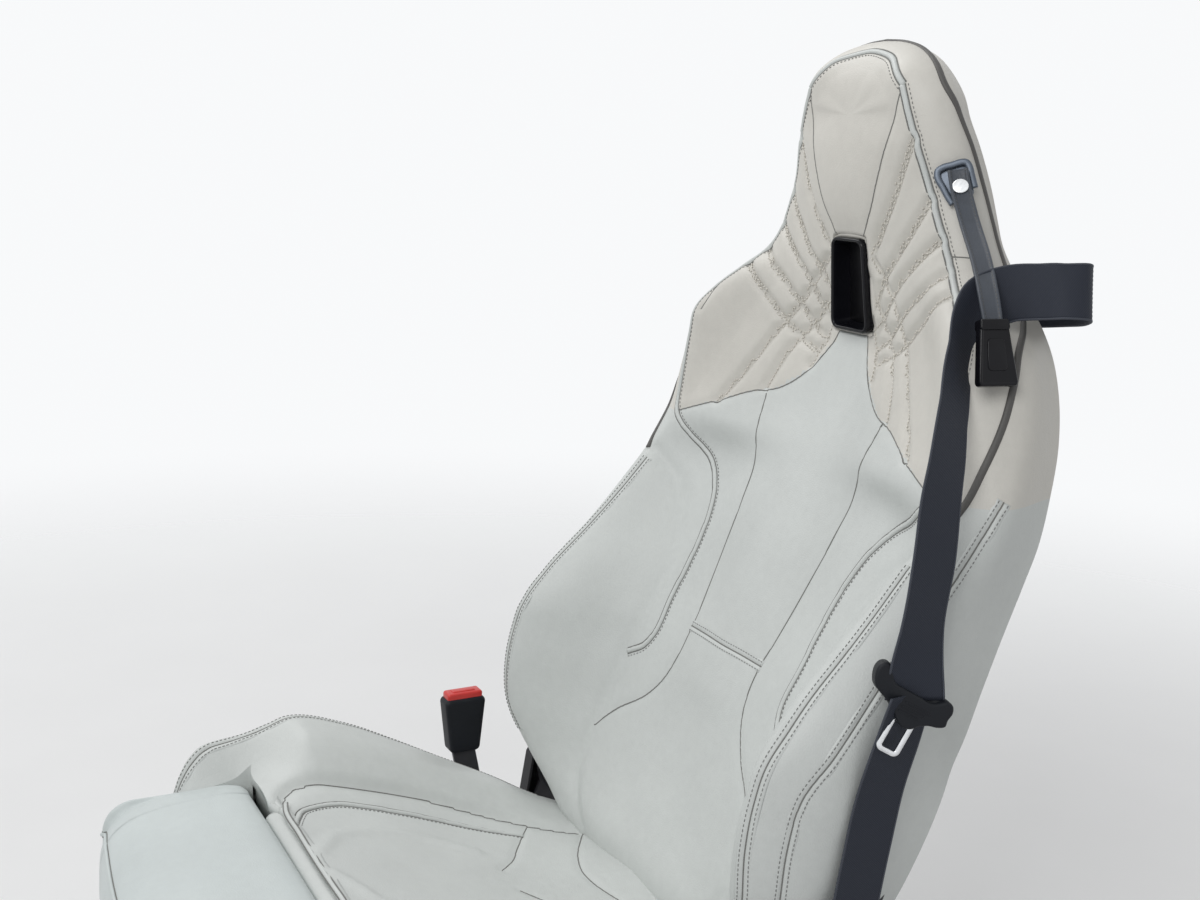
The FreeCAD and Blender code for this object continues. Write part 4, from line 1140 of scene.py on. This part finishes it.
class Form(Batch):
    """Closed solids whose faces are turned outward when they are made."""

    def stack(self, rings):
        """Rings of points with equal counts, joined one to the next and closed at both ends."""
        self.add(np.vstack(rings), tube_faces(len(rings), len(rings[0])))

    def slab(self, plane, shape, thick, edge=0.8, steps=3, front=()):
        """A plate with rounded edges; front adds rings as (inset, rise) for an emboss."""
        angles = np.linspace(0, math.pi / 2, steps + 1)
        levels = [(edge * (1 - math.sin(a)), edge * (1 - math.cos(a)) - thick / 2) for a in angles]
        levels += [(edge * (1 - math.cos(a)), thick / 2 - edge * (1 - math.sin(a))) for a in angles]
        self.stack([plane.at(shape(inset), rise) for inset, rise in [*levels, *front]])

    def make(self, *told):
        made = super().make(*told)
        work = bmesh.new()
        work.from_mesh(made.data)
        bmesh.ops.recalc_face_normals(work, faces=work.faces)
        work.to_mesh(made.data)
        work.free()
        return made


def plates(name, node, body, material, slot, plane, *slabs):
    """A piece made of plates on one plane. A slab: outline, thickness, edge, steps, emboss."""
    form = Form()
    for slab in slabs:
        form.slab(plane, *slab)
    form.make(name, body, material, slot, node)


def strips(name, node, body, material, slot, *told):
    """A piece made of swept strips. Each is told as path, lean, profile, whether it closes."""
    form = Form()
    for strip in told:
        form.sweep(*strip)
    form.make(name, body, material, slot, node)


def oval(half_w, half_h, count=16):
    """A rounded profile of (across, up) pairs."""
    pairs = np.stack([np.cos(turns(count)), np.sin(turns(count))], axis=1)
    return np.sign(pairs) * np.abs(pairs) ** 0.6 * (half_w, half_h)


# Opening below the headrest: a rounded frame, a deep dark pane, and the leather's rolled lip
BEZEL_TOP_HALF = 24.5
BEZEL_ROUND = 9.5
PANE_DEPTH = 18
PANE_INSET = 5
OPENING_LEAN = (0, -0.11, 1)
OPENING_TALL = (BEZEL_HIGH - BEZEL_LOW) / 2
opening = Plane((0, 386.5, (BEZEL_LOW + BEZEL_HIGH) / 2), (1, 0, 0), OPENING_LEAN)
opening_shape = panel(BEZEL_HALF, BEZEL_TOP_HALF, -OPENING_TALL, OPENING_TALL, BEZEL_ROUND)
# Columns: inset from the outline, rise towards the front.
BEZEL_RINGS = ((0.6, -24), (0, -22), (0, 1.0), (0.4, 2.2), (1.3, 3.1), (2.5, 3.2), (3.4, 2.5),
               (3.9, 1.0), (4.2, -3), (4.8, -PANE_DEPTH), (6.0, -PANE_DEPTH - 2))
bezel = Form()
bezel.stack([opening.at(opening_shape(inset), rise) for inset, rise in BEZEL_RINGS])
bezel.make("opening_bezel_frame", "back", GLOSS_BLACK, "gloss_black", "opening_bezel")
pane_plane = Plane(opening.middle - opening.out * (PANE_DEPTH - 0.4), (1, 0, 0), OPENING_LEAN)
pane_shape = panel(BEZEL_HALF - PANE_INSET, BEZEL_TOP_HALF - PANE_INSET, PANE_INSET - OPENING_TALL,
                   OPENING_TALL - PANE_INSET, 4)
plates("opening_pane", None, "back", PANE_BLACK, "gloss_black", pane_plane, (pane_shape, 2, 0.5, 2))
LIP_COUNT = 120
LIP_OUTSET = 3.6
LIP_ROUND = 9
LIP_DRAW = (0.045, 0, 0.03)
LIP_SINK = (0, 3.2, 0)
LIP_PROFILE = mirrored(((-3.6, -6), (-3.2, 0.2), (-2.2, 1.5), (-0.8, 2.1)))
lip_spots = opening.at(rounded(BEZEL_HALF, BEZEL_TOP_HALF, -OPENING_TALL, OPENING_TALL, LIP_ROUND,
                               -LIP_OUTSET, 10))
lip_path = back.seen([(x, 0, z) for x, _, z in lip_spots], *FROM_FRONT)
lip_path = curved(lip_path.tolist(), LIP_COUNT)
lip_path -= (lip_path - lip_path.mean(axis=0)) * LIP_DRAW
strips("opening_lip", None, "back", WARM_LEATHER, "leather",
       (lip_path + LIP_SINK, np.array((0, -1.0, 0.1)), LIP_PROFILE, True))

# Thigh pad. Columns: half width across, front, rear, height of the crown, of the lower edge.
THIGH = (
    (0, -296, -142, 320, 180), (100, -290, -142, 319.5, 182), (150, -285, -142, 318.5, 183),
    (168, -283, -142, 318, 184), (190, -279.5, -142, 316, 186), (198, -278.5, -144, 314, 187),
    (202, -277.6, -152, 312.5, 187), (203.5, -277.2, -172, 312, 188), (206, -277, -210, 311.5, 188),
    (213, -276, -222, 308, 189), (232, -272, -222, 298, 194), (250, -263, -222, 279, 204),
)
PAN_FRONT = (-200, 280)
PAN_SLOPE = math.tan(math.radians(10))
PAD_LIFT = 3
TRAY_FACE = 2.8
PAD_STEP = -226
PAD_LIP = 14
SIDE_SINK = 50
PAN_HALF = 168
PAD_END = 14
PIPING_BACK = 0.055
PIPING_DOWN = 28
# Where the pad's rings stand. Columns: first and last distance from the middle, count.
PAD_STRETCHES = ((0, 164, 28), (167, 174, 6), (178, 195, 6), (197, 214, 18), (218, 232, 4))
PAD_ARC = 18
PAD_ARC_STATIONS = (0.25, math.pi / 2, 10)
PAD_END_SHARE = 0.35


def pan_line(y):
    return PAN_FRONT[1] - PAN_SLOPE * (y - PAN_FRONT[0])


def pad_section(half, front, rear, crown, drop):
    """The pad's closed side outline at one distance from the middle, as (back, height)."""
    sink = SIDE_SINK * min(max((half - PAN_HALF) / 4, 0), 1)
    lip = min(PAN_FRONT[0] - PAD_LIP, rear - 2)
    step = min(PAD_STEP, lip - 3)
    under = pan_line(rear) + PAD_LIFT - sink
    depth = rear - front
    keys = [
        (rear, under), (rear + 0.5, (under + crown) / 2), (rear - 0.5, crown - 9),
        (rear - 3.5, crown - 3.2), (rear - 10, crown - 0.6), (rear - 0.32 * depth, crown + 1.2),
        (front + 0.36 * depth, crown - 2), (front + 0.2 * depth, crown - 8),
        (front + 0.09 * depth, crown - 19), (front + 3.5, crown - 37), (front, crown - 60),
        (front + 1, (crown - 60 + drop) / 2), (front + 7, drop + 8), (front + 16, drop),
        (step - 6, drop), (step, drop + 5), (step, pan_line(step) - TRAY_FACE - sink - 3),
        (step + 2, pan_line(step) - TRAY_FACE - sink),
        (lip - 1, pan_line(lip) - TRAY_FACE - sink), (lip, pan_line(lip) + PAD_LIFT - sink),
    ]
    return curved(keys, 96)


PAD_HALF = THIGH[-1][0]
across_steps = np.concatenate([
    *(np.linspace(*stretch) for stretch in PAD_STRETCHES),
    PAD_HALF - PAD_ARC * np.cos(np.linspace(*PAD_ARC_STATIONS))])
half_rings = []
piping_half = []
for half in across_steps:
    row = smooth([row[0] for row in THIGH], [row[1:] for row in THIGH], [half])[0]
    front, rear, crown, _ = row
    ring = pad_section(half, *row)
    centre = ring.mean(axis=0)
    past = max((half - (PAD_HALF - PAD_END)) / PAD_END, 0)
    shrink = PAD_END_SHARE + (1 - PAD_END_SHARE) * math.sqrt(max(1 - past ** 2, 0.02))
    ring = centre + (ring - centre) * shrink
    half_rings.append(np.column_stack([np.full(len(ring), half), ring]))
    spot = np.array((front + PIPING_BACK * (rear - front), crown - PIPING_DOWN))
    piping_half.append((half, *(centre + (spot - centre) * shrink)))
pad = Form()
pad.stack([ring * (-1, 1, 1) for ring in half_rings[:0:-1]] + half_rings)
pad_quads = np.array([flipped(face) for face in pad.faces if len(face) == 4])
pad_wrap = Wrap(np.vstack(pad.points), pad_quads)
made = pad.make("thigh_cover", "thigh", PAD_LEATHER, "leather", "thigh_pad")
pad_path, pad_lean = trace(pad_wrap, across_middle(piping_half)[::4])
strips("thigh_piping", None, "thigh", PAD_LEATHER, "leather",
       (pad_path, pad_lean, oval(1.7, 2.1, 12)))
# Dark lines either side of the piping: painted shade of its grooves.
strips("thigh_piping_shade_lines", None, "thigh", SEAM_SHADE, "leather",
       *((shifted(pad_path, pad_lean, offset, 0.1), pad_lean, oval(0.7, 0.5, 8))
         for offset in (-2.4, 2.4)))

# Flap between the thigh pad and the cushion, as (back, height), and the cushion's rolled edge
FLAP_HALF = 122
FLAP_TAPER = 18
FLAP_REAR = -133
FLAP_BEND = 5
FLAP_DROP = 1.5
FLAP_PROFILE = ((-143, 308), (-141.6, 313.4), (-138.6, 316.2), (-134, 317.4), (-128, 318.2),
                (-126, 316), (-131, 312.5), (-137, 310.5), (-140, 304))
flap = Form()
flap_rings = []
for x in np.linspace(-FLAP_HALF, FLAP_HALF, 61):
    end = max(abs(x) - FLAP_HALF + FLAP_TAPER, 0) / FLAP_TAPER
    flap_rings.append([(x, y + FLAP_BEND * end ** 2 * (y > FLAP_REAR), z - FLAP_DROP * end)
                       for y, z in FLAP_PROFILE])
flap.stack(flap_rings)
made = flap.make("thigh_flap", "", LEATHER, "leather")
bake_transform(made)
EDGE_SEAM = ((0, -128.5, 321.5), (60, -128, 322), (106, -127, 323), (118, -124, 323))
edge_path = even(across_middle(EDGE_SEAM), 3)
edge_lean = np.array((0, -0.45, 0.9))
strips("cushion_front_roll", None, "pan", LEATHER, "leather",
       (edge_path, edge_lean, oval(1.9, 2.5)))
# The wall under the front edge; its upper part comes forward beside the thigh pad's wings
WALL_HALF = 204
WALL_TALL = 52
WALL_THICK = 5
WALL_BELOW = 1.5
WALL_FRONT = ((194, 200), (-133.3, -138.3))
WALL_LOW_FRONT = -131
WALL_STEP = (303, 311)
front_row = seat.points[seat_ids[0]]
wall_rings = []
for x in np.linspace(-WALL_HALF, WALL_HALF, 83):
    edge_y, top = (np.interp(x, front_row[:, 0], front_row[:, axis]) for axis in (1, 2))
    edge_y = max(edge_y + 0.5, np.interp(abs(x), *WALL_FRONT))
    low_y = max(edge_y, WALL_LOW_FRONT)
    foot = top - WALL_BELOW - WALL_TALL
    wall_rings.append([(x, low_y, foot), (x, low_y, WALL_STEP[0]), (x, edge_y, WALL_STEP[1]),
                       (x, edge_y, top - WALL_BELOW), (x, low_y + WALL_THICK, top - 1),
                       (x, low_y + WALL_THICK, foot)])
front_wall = Form()
front_wall.stack(wall_rings)
front_wall.make("cushion_front_wall", "pan", LEATHER, "leather")
# Dark lines either side of the front roll: painted shade of its grooves.
strips("cushion_front_shade_lines", None, "pan", SEAM_SHADE, "leather",
       *((shifted(edge_path, edge_lean, offset, 1.4), edge_lean, oval(0.6, 0.6, 8))
         for offset in (-2.2, 2.2)))

# Belt. Columns: middle of the webbing, direction of its width.
UPPER_BELT = (
    ((150, 467, 800), (0, 0, 1)),
    ((190, 467, 806), (0, 0, 1)),
    ((232, 453, 813), (-0.05, 0.05, 1)),
    ((254, 428, 820), (-0.3, 0.1, 0.93)),
    ((246, 411, 820), (-0.45, 0.1, 0.87)),
    ((229, 401, 818), (-0.5, 0.05, 0.85)),
    ((211, 388, 815), (-0.42, -0.1, 0.88)),
    ((202, 371, 807), (-0.25, -0.38, 0.85)),
    ((204, 353, 790), (0.05, -0.66, 0.7)),
    ((216, 337, 766), (0.38, -0.86, 0.25)),
    ((243, 311, 728), (0.4, -0.9, 0.1)),
    ((261, 293, 693), (0.27, -0.95, 0.08)),
    ((269, 283, 666), (0.18, -0.97, 0.05)),
    ((278, 273, 622), (0.12, -0.98, 0.06)),
    ((283, 262, 568), (0.08, -0.95, 0.18)),
    ((285, 258, 540), (-0.15, -0.9, 0.32)),
    ((286.5, 257, 514), (-0.4, -0.79, 0.457)),
)
LOWER_BELT = (
    ((287, 254, 520), (0.2, -0.88, 0.3)),
    ((277, 252, 480), (0.05, -1, 0.12)),
    ((268, 245, 430), (0, -1, 0)),
    ((267.5, 236, 380), (0, -1, 0)),
    ((267.1, 225, 309), (0, -1, 0)),
)
WEB_HALF = 23.5
WEB_RISE = 0.65
RIB_COUNT = 12
RIB_SINK = 0.28
WEB_BORDER = 1.4
BORDER_INSET = 0.9
rib_top = []
for index, across_web in enumerate(np.linspace(WEB_BORDER - WEB_HALF, WEB_HALF - WEB_BORDER,
                                               2 * RIB_COUNT + 1)):
    rib_top.append((across_web, WEB_RISE - (RIB_SINK if index % 2 else 0)))
RIBS = rib_top + [(a, -b) for a, b in rib_top[::-1]]


def ribbon(stations, step, evened=False):
    """A strap's path and normals, from a table of (middle, direction of the width)."""
    middles = np.array([middle for middle, _ in stations], float)
    knots = lengths(middles)
    if evened:
        path = even(middles, step)
    else:
        path = smooth(knots, middles, np.linspace(0, knots[-1], int(knots[-1] / step)))
    where = np.linspace(0, knots[-1], len(path))
    wide = smooth(knots, unit([across for _, across in stations]), where)
    return path, unit(np.cross(np.gradient(path, axis=0), wide))


edges = []
for name, node, stations in (("belt_upper", "belt_webbing_upper", UPPER_BELT),
                             ("belt_lower", "belt_webbing_lower", LOWER_BELT)):
    path, lean = ribbon(stations, 4)
    strips(name, node, "back", WEB, "webbing", (path, lean, RIBS))
    for offset in (BORDER_INSET - WEB_HALF, WEB_HALF - BORDER_INSET):
        edges.append((shifted(path, lean, offset), lean, oval(0.95, 0.8, 8)))
strips("belt_edges", None, "back", WEB_EDGE, "webbing", *edges)

# Tongue and latch, drawn in the tongue's own plane
tongue_plane = Plane((284.5, 256, 531), (0.4, 0.78, -0.45), (0.1, 0.45, 0.85))
TONGUE_OUTLINE = (
    (-30.7, -4), (-29, 0.5), (-25, 2.6), (-21, 1.5), (-17.6, -3.6), (-13, -8.4), (-4, -9.5),
    (9, -9.8), (21, -9.8), (26, -6.5), (30.5, -2.8), (36.5, -4.2), (39, -9), (38.4, -16), (39, -21),
    (34, -24.5), (27, -26.5), (20.6, -30.5), (15.5, -35.5), (8, -36.6), (2, -33.5), (-4, -28),
    (-10, -24.4), (-18, -21.2), (-25.5, -17.6), (-29.5, -11))
# Ribs of the tongue's grip. Columns: half length, place across, place along.
GRIPS = ((11, 12, -18), (10, 10, -22), (9, 8, -26))
grips = [(panel(half, half, -0.8, 0.8, 0.7, over, along), 14.2, 0.4, 2)
         for half, over, along in GRIPS]
plates("belt_tongue_cover", "belt_tongue", "back", BELT_PLASTIC, "cover", tongue_plane,
       (freehand(TONGUE_OUTLINE, 140), 13, 2.6, 6), *grips)
LATCH_ACROSS = 9.2
latch_loop = [(x + LATCH_ACROSS, z) for x, z in rounded(7.9, 7.9, -59, -30, 3.4, arc=8)]
strips("belt_latch_plate", "belt_latch", "back", LATCH_METAL, "latch_metal",
       (tongue_plane.at(latch_loop), tongue_plane.out, oval(2.2, 1.5, 14), True))

# Belt guide: bracket, strap with its snap, clip over the shoulder
bracket_plane = Plane((113, 398.4, 903), (0.66, 0.75, 0.1), (-0.3, 0, 1))
BRACKET_LINE = ((3.5, -23), (0.5, -18), (-4, -9), (-9, 3), (-8.4, 6.4), (-5, 8.6), (4, 10.8),
                (12, 12.6), (15.5, 12.2), (17.6, 9), (19.5, 1), (22, -10))
PLATE_OUTLINE = ((-7, 4), (-3, 7.5), (13, 11), (16.5, 8), (20, -6), (21, -14), (4, -22), (-3, -9))
bracket = Form()
bracket_path = even([(x, z, 0) for x, z in BRACKET_LINE], 1.2)[:, :2]
bracket.sweep(bracket_plane.at(bracket_path, 3.2), bracket_plane.out, oval(2.9, 2.2, 14))
bracket.slab(bracket_plane, freehand(PLATE_OUTLINE, 60), 3.0, 0.8)
bracket.make("guide_bracket_frame", "back", BRACKET_PAINT, "strap_leather", "guide_bracket")
# Columns: middle of the strap, direction of its width.
GUIDE_LINE = (
    ((126, 397, 911), (0.62, 0.78, 0.1)), ((130, 396, 902), (0.6, 0.8, 0.12)),
    ((148, 391.5, 876), (0.5, 0.85, 0.15)), ((190, 375, 837), (0.4, 0.9, 0.15)),
    ((221, 360, 804), (0.3, 0.94, 0.1)), ((229, 357, 791), (0.215, 0.976, 0)),
)
STRAP_PROFILE = mirrored(((-8.5, -1.4), (-8.7, 0.4), (-8.2, 1.4), (-7.2, 1.8), (-6.2, 1.5),
                          (-5.4, 0.7), (-4.2, 0.5)))
GUIDE_THREAD = (3.4, 2.2, 0.35)
guide_path, guide_lean = ribbon(GUIDE_LINE, 2, evened=True)
strips("guide_strap_leather", "guide_strap", "back", STRAP_LEATHER, "strap_leather",
       (guide_path, guide_lean, STRAP_PROFILE))
guide_stitches = Form()
for offset in (-5.9, 5.9):
    guide_stitches.stitch(guide_path, guide_lean, GUIDE_THREAD, offset, 1.2)
guide_stitches.make("guide_stitches", "back", DARK_PIPING, "strap_leather")
SNAP_SHARE = 0.1
SNAP_RADIUS = 6.8
snap_spot = int(SNAP_SHARE * len(guide_path))
snap_ahead = np.gradient(guide_path, axis=0)[snap_spot]
snap_plane = Plane(guide_path[snap_spot] + guide_lean[snap_spot] * 1.8,
                   np.cross(guide_lean[snap_spot], snap_ahead), snap_ahead)


def snap_outline(inset):
    return [((SNAP_RADIUS - inset) * math.cos(a), (SNAP_RADIUS - inset) * math.sin(a))
            for a in turns(40)]


plates("guide_snap", None, "back", SNAP_METAL, "latch_metal", snap_plane,
       (snap_outline, 2.4, 1.1, 4, ((2.0, 1.2), (2.6, 0.9), (4.5, 1.2), (6.0, 1.3))))
clip_plane = Plane((235.5, 354, 771.5), (0.215, 0.976, 0), (-0.3, 0.05, 0.954))
plates("guide_clip_body", "guide_clip", "back", GLOSS_BLACK, "gloss_black", clip_plane,
       (panel(17.3, 12.4, -27, 26, 3.5), 9, 1.8, 4, ((2.0, 4.5), (2.6, 4.0), (3.4, 3.9))),
       (panel(8.6, 7.6, -13, 13, 3.5, 0, -2), 9.6, 0.8, 3),
       (panel(12.9, 12.5, -6, 3, 2.2, 0, 23.5), 11.5, 1.4, 3))

# Outlet of the belt at the rear, buckle and its button, switches
plates("belt_outlet_frame", "belt_outlet", "back", BELT_PLASTIC, "cover",
       Plane((152, 462, 800), (1, -0.2, 0), (0, 0, 1)),
       (panel(8, 8, -31, 31, 4), 10, 1.6, 3, ((2.2, 5.0), (2.6, 4.0), (4.0, 4.0))))
BUCKLE_X = -272.3
BUCKLE_Y = 112
BUCKLE_HALF = 11
BUCKLE_ACROSS = (0, -1, 0)
BUCKLE_ALONG = (0, 0.09, 1)
plates("buckle_case", "buckle_body", "pan", BELT_PLASTIC, "cover",
       Plane((BUCKLE_X, BUCKLE_Y, 306), BUCKLE_ACROSS, BUCKLE_ALONG),
       (panel(17.5, 23, -32, 30, 6), 2 * BUCKLE_HALF, 4.2, 6, ((6.5, 11), (7.1, 10.4), (8.5, 10.4))))
plates("buckle_button_cap", "buckle_button", "pan", RED, "red",
       Plane((BUCKLE_X, BUCKLE_Y, 333), BUCKLE_ACROSS, BUCKLE_ALONG),
       (panel(19.5, 20, -7, 9, 3), 17, 2.6, 5), (panel(13, 13, -1.5, 1.8, 1.2, 0, 8.2), 9, 0.8, 2))
# Columns: name, node, distance back, height, half length, half height.
SWITCHES = (("switch_seat_key", "switch_seat", -70, 150, 29, 7),
            ("switch_back_key", "switch_back", 4, 152, 7, 23))
SWITCH_ROUND = 6
for name, node, back_y, rise, half_y, half_z in SWITCHES:
    low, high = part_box(node)
    plates(name, node, "pan", COVER_PLASTIC, "cover",
           Plane(((low[0] + high[0]) / 2 / MM, back_y, rise), (0, 1, 0), (0, 0, 1)),
           (panel(half_y, half_y, -half_z, half_z, SWITCH_ROUND), 7, 2.0, 4,
            ((3.0, 3.5), (3.6, 3.1), (4.8, 3.1))))

# Floor: a wide pale disc that keeps the shadow and fades into the backdrop far from the seat
FLOOR_RADIUS = 6.0
FLOOR_SIDES = 96
FADE_START = 0.7
FADE_END = 3.2
floor_look = Look("floor", 0.8)
floor_look.colour(floor_look.noise(3, 3), (0.86, 0.86, 0.86), (0.89, 0.89, 0.89))
floor_look.bump(floor_look.noise(250, 2), 0.0003, 0.3)
distance = floor_look.node("VectorMath", {}, {0: floor_look.where}, operation="LENGTH")
fade = floor_look.node("MapRange", {"From Min": FADE_START, "From Max": FADE_END},
                       {"Value": distance.outputs["Value"]}, interpolation_type="SMOOTHSTEP")
clear = floor_look.node("BsdfTransparent", {}, {})
mixer = floor_look.node("MixShader", {}, {0: fade.outputs[0], 1: floor_look.shader.outputs[0],
                                          2: clear.outputs[0]})
floor_end = floor_look.tree.nodes["Material Output"]
floor_look.tree.links.new(mixer.outputs[0], floor_end.inputs["Surface"])
floor_mesh = bpy.data.meshes.new("floor")
rim = [(FLOOR_RADIUS * math.cos(a), FLOOR_RADIUS * math.sin(a), 0) for a in turns(FLOOR_SIDES)]
floor_mesh.from_pydata(rim, [], [list(range(FLOOR_SIDES))])
floor_mesh.materials.append(floor_look.made)
floor = in_scene("floor", floor_mesh)

# Camera
toward = Vector((math.sin(AZIMUTH) * math.cos(ELEVATION), -math.cos(AZIMUTH) * math.cos(ELEVATION),
                 math.sin(ELEVATION)))
right = (-toward).cross(Vector((0, 0, 1))).normalized()
up = right.cross(-toward)
turn = Matrix((right * math.cos(ROLL) + up * math.sin(ROLL),
               up * math.cos(ROLL) - right * math.sin(ROLL), toward)).transposed()
camera = in_scene("camera", bpy.data.cameras.new("camera"))
camera.data.sensor_width = SENSOR
camera.data.lens = SENSOR * FOCAL_PIXELS / IMAGE_WIDTH
camera.matrix_world = Matrix.Translation(EYE) @ turn.to_4x4()
bpy.context.scene.camera = camera

# Light: an even sky that looks white to the camera, a broad lamp in front, one above the far side
SKY = 0.42
world = bpy.data.worlds.new("world")
bpy.context.scene.world = world
world.use_nodes = True
tree = world.node_tree
rays = add_node(tree, "LightPath", {}, {})
seen_rays = rays.outputs["Is Camera Ray"]
for kind in ("Is Glossy Ray", "Is Transmission Ray"):
    most = add_node(tree, "Math", {}, {0: seen_rays, 1: rays.outputs[kind]}, operation="MAXIMUM")
    seen_rays = most.outputs[0]
strength = add_node(tree, "MapRange", {"To Min": SKY, "To Max": 1.0}, {"Value": seen_rays})
background = tree.nodes["Background"]
background.inputs["Color"].default_value = (0.94, 0.95, 0.96, 1)
tree.links.new(strength.outputs[0], background.inputs["Strength"])
# Columns: name, place, aim, size in metres, power in watts.
LAMPS = (("key", (1.6, -2.2, 2.6), (0, 0.1, 0.5), 1.6, 44),
         ("top", (-1.5, -0.3, 3.0), (0, 0.1, 0.5), 2.0, 36))
for name, spot, aim, span, power in LAMPS:
    light = bpy.data.lights.new(name, "AREA")
    light.size = span
    light.energy = power
    lamp = in_scene(name, light)
    lamp.location = spot
    lamp.rotation_mode = "QUATERNION"
    lamp.rotation_quaternion = (Vector(aim) - Vector(spot)).to_track_quat("-Z", "Y")
bpy.context.scene.view_settings.view_transform = "Standard"
